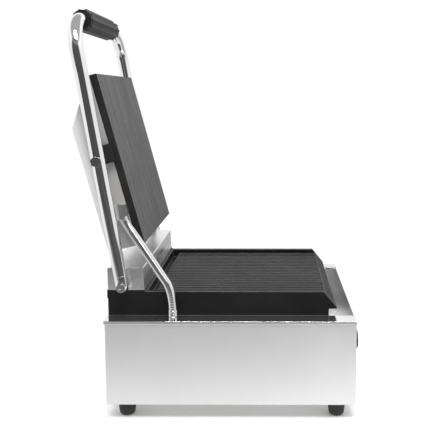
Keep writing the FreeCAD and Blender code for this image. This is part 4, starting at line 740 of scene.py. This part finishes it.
def make_grip():
    """Fluted sleeve round the tube's cross part, with its flutes running out over rounded ends."""
    low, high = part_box("handle_grip")
    middle = (low + high) / 2
    radius = min(high.z - low.z, high.y - low.y) / 2
    half = (high.x - low.x) / 2
    shape = bmesh.new()
    rings = []
    for x, drawn_in in [(-half, None)] + grip_stations(half) + [(half, None)]:
        ring = []
        for number in range(GRIP_SIDES):
            share = number / GRIP_SIDES
            angle = 2 * math.pi * share
            if drawn_in is None:
                reach = radius * GRIP_BORE_SHARE
            else:
                reach = grip_radius(radius, share) - drawn_in
            ring.append(shape.verts.new(
                (middle.x + x, middle.y + reach * math.sin(angle), middle.z + reach * math.cos(angle))
            ))
        rings.append(ring)
    band_rings(shape, rings + rings[:1])
    mesh = smooth_mesh(shape, "grip_sleeve")
    material = moulded_plastic("grip_moulding", (0.008, 0.008, 0.008), 0.56, 1700.0, 0.00005)
    grip = add_piece("grip_sleeve", mesh, material, "arm")
    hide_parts("handle_grip")


DIAL_TURN = 270.0
DIAL_STOPS = 6
DEGREES_PER_STOP = 50
DIAL_TICKS = 30
NUMBERS_AT, NUMBER_SIZE = 0.0262, 0.0048
TICK_FROM, TICK_TO, MINOR_TICK_SHORTER = 0.0190, 0.0212, 0.0008
MAJOR_TICK_HALF, MINOR_TICK_HALF = 0.00035, 0.00016
INK_DEPTH = 0.00006


def lettering(text, size, depth):
    """A thin raised label, centred on its origin, in the plane of X and Z, facing -Y."""
    curve = bpy.data.curves.new(text, "FONT")
    curve.body = text
    curve.size = size
    curve.extrude = depth
    curve.align_x = "CENTER"
    curve.align_y = "CENTER"
    holder = bpy.data.objects.new(text, curve)
    mesh = bpy.data.meshes.new_from_object(holder)
    bpy.data.objects.remove(holder)
    mesh.transform(Matrix.Rotation(math.pi / 2, 4, "X"))
    return mesh


def raised_bar(shape, low, high, matrix):
    """A thin bar between two corners, carried by a matrix."""
    made = bmesh.ops.create_cube(shape, size=1.0)["verts"]
    middle = (Vector(low) + Vector(high)) / 2
    extent = Vector(high) - Vector(low)
    for vertex in made:
        vertex.co = matrix @ (middle + Vector([a * b for a, b in zip(vertex.co, extent)]))


def make_dial_marks():
    """Temperatures and ticks round the knob, every 50 degrees over three quarters of a turn."""
    low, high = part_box("dial_plate")
    centre = Vector(((low.x + high.x) / 2, low.y, (low.z + high.z) / 2))
    shape = bmesh.new()
    for stop in range(DIAL_STOPS + 1):
        angle = math.radians(DIAL_TURN * stop / DIAL_STOPS)
        outward = Vector((math.sin(angle), 0, math.cos(angle)))
        label = lettering(str(DEGREES_PER_STOP * stop), NUMBER_SIZE, INK_DEPTH)
        label.transform(Matrix.Translation(centre + outward * NUMBERS_AT))
        shape.from_mesh(label)
        bpy.data.meshes.remove(label)
    for tick in range(DIAL_TICKS + 1):
        major = tick % (DIAL_TICKS // DIAL_STOPS) == 0
        half = MAJOR_TICK_HALF if major else MINOR_TICK_HALF
        start = TICK_FROM if major else TICK_FROM + MINOR_TICK_SHORTER
        angle = math.radians(DIAL_TURN * tick / DIAL_TICKS)
        turn = Matrix.Translation(centre) @ Matrix.Rotation(angle, 4, "Y")
        raised_bar(shape, (-half, -INK_DEPTH, start), (half, INK_DEPTH, TICK_TO), turn)
    mesh = bpy.data.meshes.new("dial_marks")
    shape.to_mesh(mesh)
    shape.free()
    add_piece("dial_marks", mesh, printed_ink("black_ink", (0.02, 0.02, 0.02)), "base")


POINTER_LOW, POINTER_HIGH = (-0.0008, 0.0002, 0.0022), (0.0008, 0.0009, 0.0128)
POINTER_ROUNDING = 0.00012


def make_knob_pointer():
    """White inlay in the groove across the knob's face."""
    low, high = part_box("thermostat_knob")
    centre = Vector(((low.x + high.x) / 2, low.y, (low.z + high.z) / 2))
    shape = bmesh.new()
    raised_bar(shape, POINTER_LOW, POINTER_HIGH, Matrix.Translation(centre))
    bmesh.ops.bevel(shape, geom=shape.edges[:], offset=POINTER_ROUNDING, segments=2, affect="EDGES")
    mesh = bpy.data.meshes.new("knob_pointer")
    shape.to_mesh(mesh)
    shape.free()
    add_piece("knob_pointer", mesh, printed_ink("white_ink", (0.8, 0.8, 0.78)), "knob")


# ---------------------------------------------------------------- studio

# the world's ramps: start and end along an axis of the direction, then the values there
SKY_RISE = (0.05, 0.75, 0.92, 1.30)
LEFT_DIM = (-0.62, -0.40, 0.09, 1.0)
LEFT_ABOVE = (0.42, 0.60, 0.0, 0.30)
LEFT_OVERHEAD = (0.90, 0.98, 0.0, 0.55)
CEILING_CUT = (0.50, 0.72, 0.0, 0.66)
FLOOR_HALF = 8.0
FAR_CARD_HEIGHT, GRADED_CARD_HEIGHT = 0.001, 0.002
GRADED_FROM_X, GRADED_DARK_X, GRADED_SIDE_Y = -0.16, -1.15, 0.95
GRADED_SHADES = ((0.0, 0.09), (0.30, 0.11), (0.50, 0.22), (0.68, 0.50), (0.84, 0.95), (1.0, 1.35))
KEY_PLACE, KEY_AIM = (-0.85, -0.10, 1.75), (0, 0, 0.25)
KEY_SIZE, KEY_POWER = (0.9, 0.55), 24.0
CAMERA_PLACE = (-0.966, -0.067, 0.435)
CAMERA_DROP, CAMERA_TURN = 6.17, 0.23
CAMERA_LENS, CAMERA_SENSOR = 53.95, 36.0
CAMERA_SHIFT = (-0.12, -0.12)


def make_world():
    """White all round for the camera. The light itself is brighter overhead, and dim on the
    object's left. Reflections see a grey ceiling."""
    world = bpy.data.worlds.new("studio_light")
    bpy.context.scene.world = world
    world.use_nodes = True
    tree = world.node_tree
    tree.nodes.clear()
    output = tree.nodes.new("ShaderNodeOutputWorld")
    mix = tree.nodes.new("ShaderNodeMixShader")
    path = tree.nodes.new("ShaderNodeLightPath")
    seen = tree.nodes.new("ShaderNodeBackground")
    seen.inputs["Color"].default_value = (1.0, 1.0, 1.0, 1.0)
    lighting = tree.nodes.new("ShaderNodeBackground")
    lighting.inputs["Strength"].default_value = 1.0
    coords = tree.nodes.new("ShaderNodeTexCoord")
    split = tree.nodes.new("ShaderNodeSeparateXYZ")
    tree.links.new(coords.outputs["Generated"], split.inputs[0])

    def ramp(source, start, end, low, high):
        ranged = tree.nodes.new("ShaderNodeMapRange")
        ranged.interpolation_type = "SMOOTHSTEP"
        for socket, value in zip(("From Min", "From Max", "To Min", "To Max"), (start, end, low, high)):
            ranged.inputs[socket].default_value = value
        tree.links.new(source, ranged.inputs["Value"])
        return ranged.outputs["Result"]

    def combine(operation, first, second):
        maths = tree.nodes.new("ShaderNodeMath")
        maths.operation = operation
        for place, value in enumerate((first, second)):
            if isinstance(value, float):
                maths.inputs[place].default_value = value
            else:
                tree.links.new(value, maths.inputs[place])
        return maths.outputs[0]

    sky = ramp(split.outputs["Z"], *SKY_RISE)
    beside = ramp(split.outputs["X"], *LEFT_DIM)
    above = ramp(split.outputs["Z"], *LEFT_ABOVE)
    overhead = ramp(split.outputs["Z"], *LEFT_OVERHEAD)
    room = combine("MAXIMUM", combine("MAXIMUM", beside, above), overhead)
    ceiling = ramp(split.outputs["Z"], *CEILING_CUT)
    mirrored = combine("MULTIPLY", path.outputs["Is Glossy Ray"], ceiling)
    shade = combine("MULTIPLY", combine("MULTIPLY", room, sky), combine("SUBTRACT", 1.0, mirrored))
    tree.links.new(shade, lighting.inputs["Color"])
    tree.links.new(path.outputs["Is Camera Ray"], mix.inputs["Fac"])
    tree.links.new(lighting.outputs[0], mix.inputs[1])
    tree.links.new(seen.outputs[0], mix.inputs[2])
    tree.links.new(mix.outputs[0], output.inputs["Surface"])


def lay_sheet(name, corners, height, material, only_reflected):
    """A flat sheet of the stage. One that is only reflected neither shows nor lights anything."""
    mesh = bpy.data.meshes.new(name)
    mesh.from_pydata([(x, y, height) for x, y in corners], [], [(0, 1, 2, 3)])
    mesh.materials.append(material)
    sheet = bpy.data.objects.new(name, mesh)
    bpy.context.scene.collection.objects.link(sheet)
    if only_reflected:
        sheet.visible_camera = False
        sheet.visible_diffuse = False
        sheet.visible_transmission = False
        sheet.visible_shadow = False


def whole_floor():
    half = FLOOR_HALF
    return [(-half, -half), (half, -half), (half, half), (-half, half)]


def make_floor():
    finish = Finish("pale_floor", (0.93, 0.93, 0.93), 0.6, specular=0.0)
    cloth = finish.noise(3.0, detail=2.0)
    tone = finish.blend(finish.spread(cloth, 0.0, 1.0), (0.92, 0.92, 0.92), (0.95, 0.95, 0.95))
    finish.set("Emission Color", (1.0, 1.0, 1.0, 1.0))
    finish.set("Emission Strength", 0.06)
    lay_sheet("studio_floor", whole_floor(), 0.0, finish.done(tone), only_reflected=False)


def make_graded_card():
    """Card on the floor at the object's left. It is pale at the object's foot and black further
    out, so that flat sheets get their fall of light."""
    finish = Finish("graded_card", (0.0, 0.0, 0.0), 1.0, specular=0.0)
    ramp = finish.node("ShaderNodeValToRGB")
    elements = ramp.color_ramp.elements
    while len(elements) < len(GRADED_SHADES):
        elements.new(0.5)
    for element, (place, shade) in zip(elements, GRADED_SHADES):
        element.position = place
        element.color = (shade, shade, shade, 1.0)
    along = finish.axis_of(finish.coords, "X")
    finish.link(finish.spread(along, 0.0, 1.0, (GRADED_DARK_X, GRADED_FROM_X)), ramp.inputs[0])
    finish.link(ramp.outputs[0], finish.shader.inputs["Emission Color"])
    forward = finish.spread(finish.axis_of(finish.coords, "Y"), 1.25, 0.88, (-0.45, 0.10), smooth=True)
    finish.link(forward, finish.shader.inputs["Emission Strength"])
    near, far, side = GRADED_FROM_X, -FLOOR_HALF, FLOOR_HALF
    corners = [(near, -side), (near, GRADED_SIDE_Y), (far, side), (far, -side)]
    lay_sheet("graded_card", corners, GRADED_CARD_HEIGHT, finish.done(), only_reflected=True)


def make_far_card():
    """Card under the whole stage: the floor falls off in the distance except behind the object, so
    that upright sheets don't vanish against the pale background."""
    finish = Finish("far_card", (0.0, 0.0, 0.0), 1.0, specular=0.0)
    distance = finish.node("ShaderNodeVectorMath", operation="LENGTH")
    finish.link(finish.coords, distance.inputs[0])
    fall = finish.spread(distance.outputs["Value"], 1.0, 0.42, (0.30, 1.10), smooth=True)
    behind = finish.spread(finish.axis_of(finish.coords, "Y"), 0.42, 1.0, (0.25, 0.85), smooth=True)
    finish.link(finish.maths("MAXIMUM", fall, behind), finish.shader.inputs["Emission Strength"])
    finish.set("Emission Color", (1.0, 1.0, 1.0, 1.0))
    lay_sheet("far_card", whole_floor(), FAR_CARD_HEIGHT, finish.done(), only_reflected=True)


def area_light(name, place, aim, size, power):
    data = bpy.data.lights.new(name, "AREA")
    data.shape = "RECTANGLE"
    data.size, data.size_y = size
    data.energy = power
    lamp = bpy.data.objects.new(name, data)
    lamp.location = place
    lamp.rotation_euler = (Vector(aim) - Vector(place)).to_track_quat("-Z", "Y").to_euler()
    lamp.visible_camera = False
    bpy.context.scene.collection.objects.link(lamp)


def make_camera():
    """Stands on the object's left, a little above the lower plate, and looks across it."""
    data = bpy.data.cameras.new("camera")
    data.lens = CAMERA_LENS
    data.sensor_width = CAMERA_SENSOR
    data.shift_x, data.shift_y = CAMERA_SHIFT
    camera = bpy.data.objects.new("camera", data)
    camera.location = CAMERA_PLACE
    camera.rotation_euler = (math.radians(90 - CAMERA_DROP), 0.0, math.radians(CAMERA_TURN - 90))
    bpy.context.scene.collection.objects.link(camera)
    bpy.context.scene.camera = camera


# ---------------------------------------------------------------- put together

finish_nodes()
make_conduit()
make_conduit_ferrule()
make_grip()
make_dial_marks()
make_knob_pointer()
make_world()
make_floor()
make_graded_card()
make_far_card()
area_light("key_softbox", KEY_PLACE, KEY_AIM, KEY_SIZE, KEY_POWER)
make_camera()
bpy.context.scene.view_settings.view_transform = "Standard"
